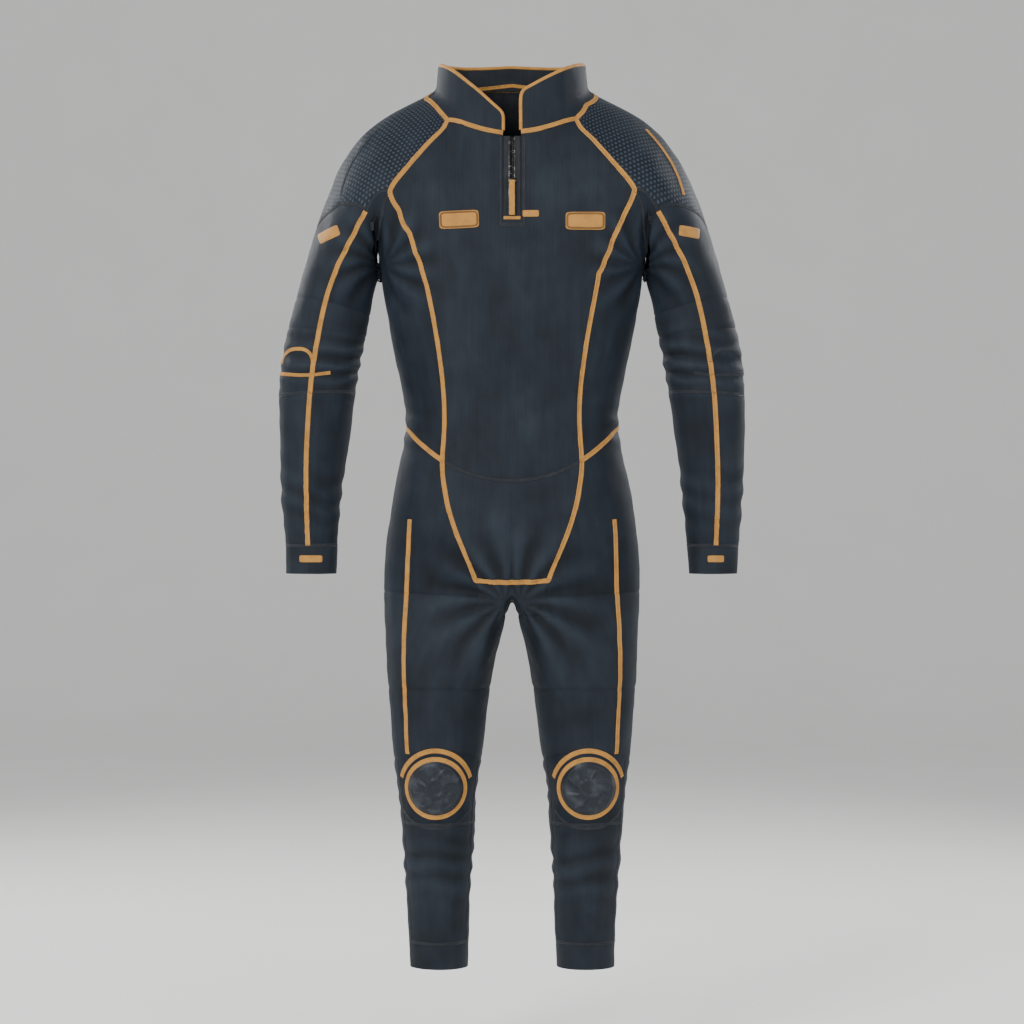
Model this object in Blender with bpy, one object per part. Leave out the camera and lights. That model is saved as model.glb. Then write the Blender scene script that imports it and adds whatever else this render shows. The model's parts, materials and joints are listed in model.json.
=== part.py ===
"""Full wetsuit with a short front neck zip, hanging straight down from its collar.

The frame: +Z up, the front faces -Y, the wearer's left side is at +X.
The origin is the top of the back collar, where the suit is held.
The skin is one cage of sewn panels: each panel becomes a closed neoprene solid of its own,
with a hairline gap along the seams, so that no two panels overlap.
"""
import math

import bmesh
import bpy
from mathutils import Matrix, Vector
from mathutils.bvhtree import BVHTree

# ---------------------------------------------------------------- driving dimensions, in metres
NEOPRENE = 0.004            # thickness of every sewn panel
SEAM_GAP = 0.0003           # gap between two panels along a seam
SEAT_GAP = 0.0003           # gap between a sewn-on piece and what it sits on

# heights are given as drops below the collar's top
NECK_FRONT_DROP = 0.122
NECK_BACK_DROP = 0.035
COLLAR_SIDE_DROP = 0.006
COLLAR_LEFT_FRONT_DROP = 0.060
COLLAR_RIGHT_FRONT_DROP = 0.096
RAGLAN_CORNER_DROP = 0.215
ARMPIT_DROP = 0.350
WAIST_DROP = 0.580
HIP_DROP = 0.780
CROTCH_DROP = 0.850
LEG_LENGTH = 0.600
THIGH_FLEX_END = CROTCH_DROP + 0.150
KNEE_TOP = CROTCH_DROP + 0.250
KNEE_BOTTOM = KNEE_TOP + 0.115
ANKLE_DROP = CROTCH_DROP + LEG_LENGTH
HEM_TOP = ANKLE_DROP - 0.040
CUFF_TOP = 0.775
WRIST_DROP = 0.820

NECK_HALF_WIDTH = 0.126
CHEST_HALF_WIDTH = 0.210
WAIST_HALF_WIDTH = 0.170
HIP_HALF_WIDTH = 0.207
ANKLE_HALF_WIDTH = 0.0475
ANKLE_CENTRE = 0.1175
WRIST_HALF_WIDTH = 0.040
WRIST_CENTRE = CHEST_HALF_WIDTH + 0.110
CUFF_HALF_WIDTH = 0.042

CHEST_FRONT = -0.108
NECK_FRONT = -0.070
CHEST_BACK = 0.095
NECK_BACK = 0.060

ZIP_SLOT_WIDTH = 0.028
ZIP_LENGTH = 0.130
ZIP_TOP_MARGIN = 0.008
ZIP_STOP_LENGTH = 0.0058
ZIP_STOP_ROOM = 0.0065      # slot left below the teeth for the stop
ZIP_PITCH = 0.004
ZIP_TAPE = 0.0016
ZIP_FLAP_WIDTH = 0.046
ZIP_FLAP = 0.002
SLIDER_PARK = 0.075         # slider's place below the zip's top
SLIDER_WIDTH = 0.012
SLIDER_LENGTH = 0.013
TAB_LENGTH = 0.055
TAB_WIDTH = 0.0084
TAB_THICKNESS = 0.0018
PIN_RADIUS = 0.0009
PIN_CLEARANCE = 0.0003

BINDING_RADIUS = 0.0026
PATCH_THICKNESS = 0.0015
PATCH_LIFT = 0.0010
CHEST_PATCH = (0.062, 0.028)
PATCH_PLACES = ((CHEST_HALF_WIDTH - 0.095, -0.266), (0.127 - CHEST_HALF_WIDTH, -0.264))
KNEE_PAD_RADIUS = 0.049
KNEE_PAD_LIFT = 0.0021

# ---------------------------------------------------------------- cage layout
HALF_COLUMNS = 7            # columns from a side to the centre line
SEAM_COLUMN = 4             # column of the princess seam and of the gusset's edge
THIGH_COLUMN = 2            # column of the outer thigh seam
RAGLAN_ROWS = 8
CORNER_ROW = 4
SLOT_ROW = 3                # row of the yoke where the zip's slot ends
SLEEVE_SEAM = 4             # place of the centre-front seam round a sleeve
SLEEVE_COUNT = 20
LEG_COUNT = 18
SIDE_POWER = 2.4

# rows of the torso from the armpit to the crotch: drop at the side, drop at the centre line
# (each as a share of the way from armpit to crotch)
ROW_SHARES = [
    (0.0, 0.0), (0.07, 0.08), (0.15, 0.18), (0.23, 0.29), (0.31, 0.40), (0.39, 0.526),
    (0.47, 0.66), (0.56, 0.724), (0.65, 0.786), (0.74, 0.85), (0.826, 0.912), (0.91, 0.97),
    (1.0, 1.0),
]
TORSO_ROWS = [tuple(ARMPIT_DROP + (CROTCH_DROP - ARMPIT_DROP) * share for share in pair)
              for pair in ROW_SHARES]
HIP_ROW = 6
LUMBAR_ROW = 4
GUSSET_ROW = 11

# torso outline: drop, half width, front y, back y, side y
TORSO = [
    (ARMPIT_DROP, CHEST_HALF_WIDTH, CHEST_FRONT, CHEST_BACK, 0.000),
    (ARMPIT_DROP + 0.120, 0.190, -0.103, 0.086, 0.000),
    (WAIST_DROP, WAIST_HALF_WIDTH, -0.088, 0.080, 0.002),
    ((WAIST_DROP + HIP_DROP) / 2, 0.192, -0.090, 0.100, 0.006),
    (HIP_DROP, HIP_HALF_WIDTH, -0.090, 0.122, 0.012),
    (CROTCH_DROP, HIP_HALF_WIDTH + 0.001, -0.082, 0.116, 0.012),
]
# seams that run down the torso: drop, distance from the centre line
PRINCESS = [(RAGLAN_CORNER_DROP, CHEST_HALF_WIDTH - 0.013), (0.290, CHEST_HALF_WIDTH - 0.050),
            (ARMPIT_DROP + 0.020, CHEST_HALF_WIDTH - 0.075), (ARMPIT_DROP + 0.120, 0.115),
            (WAIST_DROP - 0.030, 0.106), (WAIST_DROP + 0.030, 0.106), (WAIST_DROP + 0.070, 0.112)]
GUSSET_EDGE = [(WAIST_DROP + 0.060, 0.114), (CROTCH_DROP - 0.124, 0.098), (CROTCH_DROP - 0.050, 0.063),
               (CROTCH_DROP - 0.015, 0.047), (CROTCH_DROP, 0.040)]
THIGH_SEAM = [(WAIST_DROP + 0.020, 0.146), (HIP_DROP - 0.030, 0.165), (CROTCH_DROP, 0.172)]

RAGLAN_CORNER = Vector((CHEST_HALF_WIDTH - 0.013, -0.092, -RAGLAN_CORNER_DROP))
RAGLAN_CORNER_BACK = Vector((CHEST_HALF_WIDTH - 0.020, 0.088, -RAGLAN_CORNER_DROP + 0.030))
NECK_CORNER = Vector((0.090, -0.055, -0.100))
NECK_CORNER_BACK = Vector((0.093, 0.045, -0.040))
NECK_SIDE = [Vector((0.112, -0.032, -0.075)), Vector((NECK_HALF_WIDTH, 0.0, -0.053)),
             Vector((0.115, 0.026, -0.043))]

CUFF_INNER = WRIST_CENTRE - 0.001 - CUFF_HALF_WIDTH - CHEST_HALF_WIDTH
WRIST_INNER = WRIST_CENTRE - WRIST_HALF_WIDTH - CHEST_HALF_WIDTH
# sleeve stations below the raglan seam: inner, outer and seam points seen from the front as
# (x beyond the chest's half width, drop), then half depth and y of the middle
SLEEVE = [
    ((0.002, ARMPIT_DROP + 0.006), (0.108, 0.275), (0.015, RAGLAN_CORNER_DROP + 0.023), 0.086, 0.0),
    ((0.016, ARMPIT_DROP + 0.055), (0.136, ARMPIT_DROP + 0.028), (0.088, ARMPIT_DROP + 0.038),
     0.055, 0.000),
    ((0.023, 0.445), (0.152, 0.432), (0.098, 0.436), 0.053, 0.003),
    ((0.038, 0.530), (0.1635, 0.535), (0.1125, 0.531), 0.049, 0.003),
    ((0.058, 0.670), (0.160, 0.680), (0.118, 0.672), 0.043, -0.008),
    ((CUFF_INNER, CUFF_TOP), (CUFF_INNER + 2 * CUFF_HALF_WIDTH, CUFF_TOP),
     (CUFF_INNER + CUFF_HALF_WIDTH + 0.005, CUFF_TOP), 0.036, -0.020),
    ((WRIST_INNER, WRIST_DROP), (WRIST_INNER + 2 * WRIST_HALF_WIDTH, WRIST_DROP),
     (WRIST_INNER + WRIST_HALF_WIDTH + 0.003, WRIST_DROP), 0.034, -0.025),
]
# bands between two stations, and how many rows of faces each has
SLEEVE_BANDS = [("upper_sleeve", 3), ("upper_arm_band", 1), ("elbow_panel", 3), ("forearm", 3),
                ("forearm", 2), ("wrist_cuff", 1)]
SHOULDER_RINGS = 4
SHOULDER_LIFT = 0.55
UNDERARM_SHARE = 0.2
SEAM_ANGLE = 100.0

# leg outline: drop, inner x, outer x, half depth, y of the middle
LEG = [
    (CROTCH_DROP, 0.000, HIP_HALF_WIDTH + 0.001, 0.099, 0.017),
    (CROTCH_DROP + 0.060, 0.015, 0.2065, 0.092, 0.008),
    (THIGH_FLEX_END - 0.010, 0.030, 0.202, 0.084, 0.002),
    (KNEE_TOP - 0.020, 0.045, 0.192, 0.073, -0.002),
    (KNEE_TOP + 0.070, 0.055, 0.184, 0.062, -0.002),
    (KNEE_BOTTOM + 0.085, 0.064, 0.173, 0.057, 0.012),
    (ANKLE_DROP, ANKLE_CENTRE - ANKLE_HALF_WIDTH, ANKLE_CENTRE + ANKLE_HALF_WIDTH, 0.042, 0.008),
]
LEG_ROWS = ([CROTCH_DROP + drop for drop in (0.035, 0.070, 0.110)]
            + [THIGH_FLEX_END, (THIGH_FLEX_END + KNEE_TOP) / 2, KNEE_TOP]
            + [KNEE_TOP + 0.045, KNEE_TOP + 0.080, KNEE_BOTTOM]
            + [KNEE_BOTTOM + (HEM_TOP - KNEE_BOTTOM) * share for share in (0.2308, 0.4872, 0.7436)]
            + [HEM_TOP, ANKLE_DROP])
LEG_ANGLES = [0, 20, 40, 58, 75, 92, 111, 131, 155, 180]
LEG_ROUNDING_ROWS = 5
KNEE_ARC = 0.030
KNEE_CENTRE = (0.1205, KNEE_TOP + 0.058)
KNEE_FRONT_FIRST = 1
KNEE_FRONT_LAST = 8

COLOURS = {
    "neoprene": (0.020, 0.026, 0.034, 1.0), "side": (0.014, 0.020, 0.028, 1.0),
    "grip": (0.026, 0.030, 0.036, 1.0), "amber": (0.58, 0.33, 0.10, 1.0),
    "zip_tape": (0.03, 0.03, 0.035, 1.0), "slider": (0.20, 0.19, 0.17, 1.0),
    "knee_pad": (0.030, 0.033, 0.038, 1.0),
}


# ---------------------------------------------------------------- small helpers
def curve_at(rows, t):
    """Values at t on a smooth curve through rows of (t, value, value, ...)."""
    keys = [row[0] for row in rows]
    if t <= keys[0]:
        return rows[0][1:]
    if t >= keys[-1]:
        return rows[-1][1:]
    i = max(j for j in range(len(keys) - 1) if keys[j] <= t)
    span = keys[i + 1] - keys[i]
    s = (t - keys[i]) / span

    def slope(j, c):
        a = max(j - 1, 0)
        b = min(j + 1, len(rows) - 1)
        return (rows[b][c] - rows[a][c]) / (keys[b] - keys[a])

    out = []
    for c in range(1, len(rows[0])):
        p0, p1 = rows[i][c], rows[i + 1][c]
        m0, m1 = slope(i, c) * span, slope(i + 1, c) * span
        out.append(hermite(p0, p1, m0, m1, s))
    return tuple(out)


def hermite(p0, p1, m0, m1, s):
    """Cubic from p0 to p1 with end slopes m0 and m1; works on numbers and vectors."""
    return (p0 * (2 * s ** 3 - 3 * s * s + 1) + m0 * (s ** 3 - 2 * s * s + s)
            + p1 * (3 * s * s - 2 * s ** 3) + m1 * (s ** 3 - s * s))


def mirrored(point):
    return Vector((-point.x, point.y, point.z))


def material(name):
    found = bpy.data.materials.get(name)
    if found:
        return found
    made = bpy.data.materials.new(name)
    made.use_nodes = True
    shader = made.node_tree.nodes["Principled BSDF"]
    shader.inputs["Base Color"].default_value = COLOURS[name]
    shader.inputs["Roughness"].default_value = 0.35 if name == "slider" else 0.8
    shader.inputs["Metallic"].default_value = 1.0 if name == "slider" else 0.0
    made.diffuse_color = COLOURS[name]
    return made


def collection(name):
    made = bpy.data.collections.new(name)
    bpy.context.scene.collection.children.link(made)
    return made


def add_object(name, data, where, colour=None, parent=None):
    made = bpy.data.objects.new(name, data)
    where.objects.link(made)
    if colour:
        data.materials.append(material(colour))
    if parent:
        made.parent = parent
    return made


def cut(target, cutter, operation="DIFFERENCE"):
    step = target.modifiers.new("cut", "BOOLEAN")
    step.operation = operation
    step.object = cutter
    step.solver = "EXACT"


def as_cutter(made):
    made.hide_render = True
    made.display_type = "WIRE"
    return made


def box_mesh(name, size, centre=(0, 0, 0)):
    bm = bmesh.new()
    bmesh.ops.create_cube(bm, size=1.0)
    bmesh.ops.transform(bm, verts=bm.verts,
                        matrix=Matrix.Translation(centre) @ Matrix.Diagonal((*size, 1.0)))
    mesh = bpy.data.meshes.new(name)
    bm.to_mesh(mesh)
    bm.free()
    return mesh


def flat_outline(name, outlines, half_thickness):
    """2D curve in its own XY plane, filled and extruded both ways by half_thickness."""
    curve = bpy.data.curves.new(name, "CURVE")
    curve.dimensions = "2D"
    curve.fill_mode = "BOTH"
    curve.extrude = half_thickness
    for outline in outlines:
        spline = curve.splines.new("POLY")
        spline.points.add(len(outline) - 1)
        for point, (x, y) in zip(spline.points, outline):
            point.co = (x, y, 0.0, 1.0)
        spline.use_cyclic_u = True
    return curve


def solid_from_curve(name, curve, turn, where, colour=None, parent=None):
    """Mesh of a curve's solid with its caps welded, turned by the matrix turn."""
    guide = bpy.data.objects.new(name + "_outline", curve)
    bpy.context.scene.collection.objects.link(guide)
    bpy.context.view_layer.update()
    ready = guide.evaluated_get(bpy.context.evaluated_depsgraph_get())
    mesh = bpy.data.meshes.new_from_object(ready)
    bpy.data.objects.remove(guide)
    bm = bmesh.new()
    bm.from_mesh(mesh)
    bmesh.ops.remove_doubles(bm, verts=bm.verts, dist=1e-6)
    bmesh.ops.transform(bm, verts=bm.verts, matrix=turn)
    bmesh.ops.recalc_face_normals(bm, faces=bm.faces)
    bm.to_mesh(mesh)
    bm.free()
    mesh.name = name
    return add_object(name, mesh, where, colour, parent)


# ---------------------------------------------------------------- the cage of the whole skin
class Cage:
    """Points and faces of the whole skin; each face carries the name of its panel."""

    def __init__(self):
        self.points = []
        self.faces = []
        self.panels = []
        self.slot_rim = set()

    def add(self, points):
        first = len(self.points)
        self.points.extend(points)
        return list(range(first, first + len(points)))

    def face(self, corners, panel, flip=False):
        self.faces.append(tuple(reversed(corners)) if flip else tuple(corners))
        self.panels.append(panel)

    def band(self, upper, lower, panel_of, flip=False):
        """Closed band of faces between two rings; panel_of(i) names the panel or gives None."""
        count = len(upper)
        for i in range(count):
            j = (i + 1) % count
            name = panel_of(i)
            if name:
                self.face((upper[i], lower[i], lower[j], upper[j]), name, flip)


def torso_point(drop, share, back):
    width, front_y, back_y, side_y = curve_at(TORSO, drop)
    reach = (1.0 - share ** SIDE_POWER) ** (1.0 / SIDE_POWER)
    y = side_y + ((back_y if back else front_y) - side_y) * reach
    return Vector((width * share, y, -drop))


def torso_half(row, back):
    """Points of one torso row from the side to the centre line, on the +X side."""
    side, centre = TORSO_ROWS[row]
    anchors = [(0, 0.0), (HALF_COLUMNS, math.pi / 2)]
    seams = [(SEAM_COLUMN, PRINCESS if row < HIP_ROW else GUSSET_EDGE)]
    if row > HIP_ROW:
        seams.append((THIGH_COLUMN, THIGH_SEAM))
    for column, seam in seams:
        drop = side
        for _ in range(6):
            share = curve_at(seam, drop)[0] / curve_at(TORSO, drop)[0]
            drop = side + (centre - side) * (1.0 - share * share)
        anchors.append((column, math.acos(share)))
    anchors.sort()
    points = []
    for column in range(HALF_COLUMNS + 1):
        share = math.cos(spread(anchors, column))
        drop = side + (centre - side) * (1.0 - share * share)
        points.append(torso_point(drop, max(share, 0.0), back))
    points[-1].x = 0.0
    return points


def spread(anchors, column):
    """Value at a column, straight between the anchors on either side of it."""
    for (c0, v0), (c1, v1) in zip(anchors, anchors[1:]):
        if c0 <= column <= c1:
            return v0 + (v1 - v0) * (column - c0) / (c1 - c0)
    raise ValueError(column)


def raglan_edge(row, back):
    """Point of the raglan seam at a row: from the armpit to the corner, then to the neck."""
    corner = RAGLAN_CORNER_BACK if back else RAGLAN_CORNER
    neck = NECK_CORNER_BACK if back else NECK_CORNER
    armpit = Vector((CHEST_HALF_WIDTH, 0.0, -ARMPIT_DROP))
    if row <= CORNER_ROW:
        s = row / CORNER_ROW
        bulge = 0.006 * math.sin(math.pi * s)
        return Vector((armpit.x + (corner.x - armpit.x) * s * s + bulge,
                       corner.y * math.sin(s * math.pi / 2), armpit.z + (corner.z - armpit.z) * s))
    s = (row - CORNER_ROW) / (RAGLAN_ROWS - CORNER_ROW)
    point = corner.lerp(neck, s)
    point.y += math.copysign(0.006, corner.y) * math.sin(math.pi * s)
    return point


def centre_line(row, back):
    """Point of the middle of the chest or back; on the chest, row SLOT_ROW ends the zip's slot."""
    s = row / RAGLAN_ROWS
    if not back:
        line = math.hypot(CHEST_FRONT - NECK_FRONT, ARMPIT_DROP - NECK_FRONT_DROP)
        slot_end = 1.0 - (ZIP_TOP_MARGIN + ZIP_LENGTH + ZIP_STOP_ROOM) / line
        if row <= SLOT_ROW:
            s = slot_end * row / SLOT_ROW
        else:
            s = slot_end + (1.0 - slot_end) * (row - SLOT_ROW) / (RAGLAN_ROWS - SLOT_ROW)
    if back:
        bulge = 0.012 * math.sin(math.pi * s)
        return Vector((0.0, CHEST_BACK + (NECK_BACK - CHEST_BACK) * s + bulge,
                       -ARMPIT_DROP + (ARMPIT_DROP - NECK_BACK_DROP) * s))
    return Vector((0.0, CHEST_FRONT + (NECK_FRONT - CHEST_FRONT) * s,
                   -ARMPIT_DROP + (ARMPIT_DROP - NECK_FRONT_DROP) * s))


def chest_half(row, back):
    """Points of one row above the armpit, from the raglan seam to the centre line."""
    edge = raglan_edge(row, back)
    middle = centre_line(row, back)
    turn = max(0.0, 1.0 - row / CORNER_ROW)
    anchors = [(0, 1.0), (HALF_COLUMNS, 0.0)]
    seam_column = CORNER_ROW - row
    if seam_column > 0:
        z = edge.z
        for _ in range(6):
            share = min(curve_at(PRINCESS, -z)[0] / edge.x, 1.0)
            z = edge.z + (middle.z - edge.z) * (1.0 - share * share)
        anchors.append((seam_column, share))
    anchors.sort()
    points = []
    for column in range(HALF_COLUMNS + 1):
        straight = spread(anchors, column)
        angles = [(c, math.acos(min(v, 1.0))) for c, v in anchors]
        share = turn * math.cos(spread(angles, column)) + (1.0 - turn) * straight
        if column == HALF_COLUMNS - 1 and not back:
            slot_edge = ZIP_SLOT_WIDTH / 2 / edge.x
            share += (slot_edge - share) * min(row / SLOT_ROW, 1.0)
        share = min(max(share, 0.0), 1.0)
        reach = (1.0 - share ** SIDE_POWER) ** (1.0 / SIDE_POWER)
        points.append(Vector((edge.x * share, edge.y + (middle.y - edge.y) * reach,
                              edge.z + (middle.z - edge.z) * (1.0 - share * share))))
    points[-1].x = 0.0
    return points


def full_row(front_half, back_half):
    """Closed ring of 4 * HALF_COLUMNS points: front from -X to +X, then back again."""
    n = HALF_COLUMNS
    front = [mirrored(front_half[k]) for k in range(n)] + [front_half[n - k] for k in range(n)]
    back = [back_half[k] for k in range(n)] + [mirrored(back_half[n - k]) for k in range(n)]
    return front + back


def half_column(k):
    """Column counted from the side for the face that starts at ring place k."""
    k = k % (2 * HALF_COLUMNS)
    return k if k < HALF_COLUMNS else 2 * HALF_COLUMNS - 1 - k


def is_back(k):
    return k >= 2 * HALF_COLUMNS


def side_name(k):
    """The wearer's left is +X."""
    if k < HALF_COLUMNS or k >= 3 * HALF_COLUMNS:
        return "right"
    return "left"


def torso_panel(row, k):
    centre = half_column(k) >= SEAM_COLUMN
    if row < HIP_ROW:
        if not centre:
            return side_name(k) + "_side_panel"
        if not is_back(k):
            return "front_chest_panel"
        return "upper_back_panel" if row < LUMBAR_ROW else "lumbar_panel"
    if not centre:
        return side_name(k) + "_hip_panel"
    if row >= GUSSET_ROW:
        return "crotch_panel"
    return "seat_panel" if is_back(k) else "belly_gusset"


def build_torso(cage):
    """Torso rings from armpit to crotch; gives back the list of rings."""
    rings = []
    for row in range(len(TORSO_ROWS)):
        ring = full_row(torso_half(row, False), torso_half(row, True))
        rings.append(cage.add(ring))
    for row in range(len(rings) - 1):
        cage.band(rings[row], rings[row + 1], lambda k, r=row: torso_panel(r, k))
    return rings


def build_yoke(cage, armpit_ring, back):
    """Grid above the armpit on the front or back; rows from the armpit to the neck."""
    n = HALF_COLUMNS
    if back:
        lowest = armpit_ring[2 * n:] + armpit_ring[:1]
    else:
        lowest = armpit_ring[:2 * n + 1]
    rows = [lowest]
    for row in range(1, RAGLAN_ROWS + 1):
        half = chest_half(row, back)
        line = [mirrored(half[k]) for k in range(n)] + [half[n - k] for k in range(n + 1)]
        if back:
            line.reverse()
        rows.append(cage.add(line))
    centre_name = "upper_back_panel" if back else "front_chest_panel"
    for row in range(RAGLAN_ROWS):
        for k in range(2 * n):
            h = k if k < n else 2 * n - 1 - k
            if row >= SLOT_ROW and h == n - 1 and not back:
                cage.slot_rim.update((rows[row][k], rows[row][k + 1],
                                      rows[row + 1][k], rows[row + 1][k + 1]))
                continue
            low, high = rows[row], rows[row + 1]
            a, b, c, d = low[k], low[k + 1], high[k + 1], high[k]
            first_half = k < n
            wearer_left = first_half == back
            side = ("left" if wearer_left else "right") + "_side_panel"
            seam = CORNER_ROW - row - 1
            if h < seam:
                cage.face((d, a, b, c), side)
            elif h > seam or seam < 0:
                cage.face((d, a, b, c), centre_name)
            elif first_half:
                cage.face((d, a, b), side)
                cage.face((d, b, c), centre_name)
            else:
                cage.face((a, b, c), side)
                cage.face((a, c, d), centre_name)
    return rows


def sleeve_angles():
    front = [SEAM_ANGLE * i / SLEEVE_SEAM for i in range(SLEEVE_SEAM)]
    outer = SLEEVE_COUNT // 2 - SLEEVE_SEAM
    front += [SEAM_ANGLE + (180.0 - SEAM_ANGLE) * i / outer for i in range(outer + 1)]
    back = [360.0 - angle for angle in reversed(front[1:-1])]
    return [math.radians(angle) for angle in front + back]


def sleeve_ring(station):
    """Ring of one sleeve station on the +X side, from the inner side round by the front."""
    inner, outer, seam, depth, middle_y = station
    inner, outer, seam = (Vector((CHEST_HALF_WIDTH + p[0], -p[1])) for p in (inner, outer, seam))
    centre = (inner + outer) / 2
    along = (inner - outer) / 2
    angle = math.radians(SEAM_ANGLE)
    lean = (seam - centre - along * math.cos(angle)) / math.sin(angle)
    ring = []
    for turn in sleeve_angles():
        place = centre + along * math.cos(turn) + lean * abs(math.sin(turn))
        ring.append(Vector((place.x, middle_y - depth * math.sin(turn), place.y)))
    return ring


def station_between(index, s):
    """Sleeve station part of the way from one station to the next, on a smooth curve."""
    flat = [[v for part in st for v in (part if isinstance(part, tuple) else (part,))] for st in SLEEVE]
    rows = [(float(i), *values) for i, values in enumerate(flat)]
    v = curve_at(rows, index + s)
    return ((v[0], v[1]), (v[2], v[3]), (v[4], v[5]), v[6], v[7])


def sleeve_panel(side, band, i):
    outer_side = SLEEVE_SEAM <= i < SLEEVE_COUNT - SLEEVE_SEAM
    if band == "shoulder":
        return side + ("_shoulder_panel" if outer_side else "_upper_sleeve_inner")
    if band in ("upper_sleeve", "forearm"):
        return side + "_" + band + ("_outer" if outer_side else "_inner")
    return side + "_" + band


def build_sleeve(cage, armhole, side):
    """Sleeve from the armhole loop down to the wrist."""
    flip = side == "right"
    first = [cage.points[i].copy() for i in armhole]
    if flip:
        first = [mirrored(p) for p in first]
    cap = sleeve_ring(SLEEVE[0])
    after = sleeve_ring(SLEEVE[1])
    below = sleeve_ring(SLEEVE[2])
    for i in range(SLEEVE_COUNT):
        if min(i, SLEEVE_COUNT - i) < SLEEVE_SEAM:
            cap[i] = first[i].lerp(after[i], UNDERARM_SHARE)
    rings = [armhole]
    bands = []

    def place(ring, band):
        rings.append(cage.add([mirrored(p) if flip else p for p in ring]))
        bands.append(band)

    for step in range(1, SHOULDER_RINGS + 1):
        s = step / SHOULDER_RINGS
        ring = []
        for p0, p1, p2 in zip(first, cap, after):
            way = p1 - p0
            rise = Vector((0.4, 0.0, 0.9)) * way.length * SHOULDER_LIFT
            m0 = (way + rise).normalized() * way.length * 1.4
            m1 = (p2 - p1).normalized() * way.length * 1.3
            ring.append(hermite(p0, p1, m0, m1, s))
        place(ring, "shoulder")
    for index, (band, rows) in enumerate(SLEEVE_BANDS):
        for step in range(1, rows + 1):
            s = step / rows
            if index == 0:
                ring = [hermite(p1, p2, p2 - p1, (p3 - p2).normalized() * (p2 - p1).length, s)
                        for p1, p2, p3 in zip(cap, after, below)]
            else:
                ring = sleeve_ring(station_between(index, s))
            place(ring, band)
    for upper, lower, band in zip(rings, rings[1:], bands):
        cage.band(upper, lower, lambda i, b=band: sleeve_panel(side, b, i), flip)


def leg_ring(drop, crotch_shape, rounding):
    """Ring of a leg on the +X side: a blend from the crotch's D shape to a round tube."""
    inner, outer, depth, middle_y = curve_at(LEG, drop)
    angles = LEG_ANGLES + [360 - a for a in reversed(LEG_ANGLES[1:-1])]
    ring = []
    for angle, d_point in zip(angles, crotch_shape):
        turn = math.radians(angle)
        round_point = Vector(((inner + outer) / 2 - (outer - inner) / 2 * math.cos(turn),
                              middle_y - depth * math.sin(turn)))
        d_scaled = Vector((inner + d_point[0] * (outer - inner), middle_y + d_point[1] * depth))
        place = d_scaled.lerp(round_point, rounding)
        z = -drop
        if abs(drop - KNEE_TOP) < 1e-9:
            z -= KNEE_ARC * (1.0 - abs(math.sin(turn)))
        ring.append(Vector((place.x, place.y, z)))
    return ring


def leg_panel(side, row, i):
    top = ([CROTCH_DROP] + LEG_ROWS)[row]
    front = KNEE_FRONT_FIRST <= i < KNEE_FRONT_LAST
    if row == 0 and (i < 5 or i >= LEG_COUNT - 5):
        return "crotch_panel"
    if top < THIGH_FLEX_END - 1e-9:
        return side + "_upper_thigh"
    if top < KNEE_TOP - 1e-9:
        outer_strip = 7 <= i < 11
        return side + ("_thigh_side" if outer_strip else "_thigh_main")
    if top < KNEE_BOTTOM - 1e-9:
        return side + ("_knee_front" if front else "_knee_back")
    if top < HEM_TOP - 1e-9:
        return side + ("_shin_panel" if front else "_calf_panel")
    return side + "_ankle_hem"


def build_leg(cage, crotch_loop, side):
    """Leg from its crotch loop down to the ankle; the loop starts at the middle of the bridge."""
    flip = side == "right"
    loop = [cage.points[i].copy() for i in crotch_loop]
    if flip:
        loop = [mirrored(p) for p in loop]
    inner, outer, depth, middle_y = curve_at(LEG, CROTCH_DROP)
    shape = [((p.x - inner) / (outer - inner), (p.y - middle_y) / depth) for p in loop]
    rings = [crotch_loop]
    for row, drop in enumerate(LEG_ROWS):
        rounding = min(1.0, (row + 1) / LEG_ROUNDING_ROWS)
        rounding = rounding * rounding * (3 - 2 * rounding)
        ring = leg_ring(drop, shape, rounding)
        rings.append(cage.add([mirrored(p) if flip else p for p in ring]))
    for row, (upper, lower) in enumerate(zip(rings, rings[1:])):
        cage.band(upper, lower, lambda i, r=row: leg_panel(side, r, i), flip)


def collar_top(base):
    """Point of the collar's top edge above a point of the neck seam."""
    middle_y = (NECK_FRONT + NECK_BACK) / 2
    turn = abs(math.atan2(base.x, -(base.y - middle_y))) / (math.pi / 2)
    front_drop = COLLAR_LEFT_FRONT_DROP if base.x >= 0 else COLLAR_RIGHT_FRONT_DROP
    if turn < 1.0:
        blend = turn * turn * (3 - 2 * turn)
        drop = front_drop + (COLLAR_SIDE_DROP - front_drop) * blend
    else:
        drop = COLLAR_SIDE_DROP * (2.0 - turn)
    return Vector((base.x * 0.965, middle_y + (base.y - middle_y) * 0.97 + 0.004, -drop))


def build_collar(cage, neck_ring):
    """Stand-up collar on the neck seam, open at the front where the zip runs."""
    count = len(neck_ring)
    n = HALF_COLUMNS
    rows = 3
    tops = [collar_top(cage.points[i]) for i in neck_ring]
    rings = [neck_ring]
    for step in range(1, rows + 1):
        s = step / rows
        rings.append(cage.add([cage.points[i].lerp(top, s) for i, top in zip(neck_ring, tops)]))

    def panel_of(i):
        if n - 1 <= i < n + 1:
            return None
        if i < n - 1:
            return "collar_front_right"
        if i < 2 * n + 2:
            return "collar_front_left"
        if i >= count - 2:
            return "collar_front_right"
        return "collar_back"

    for lower, upper in zip(rings, rings[1:]):
        cage.band(upper, lower, panel_of)
    return rings[-1]


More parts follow.
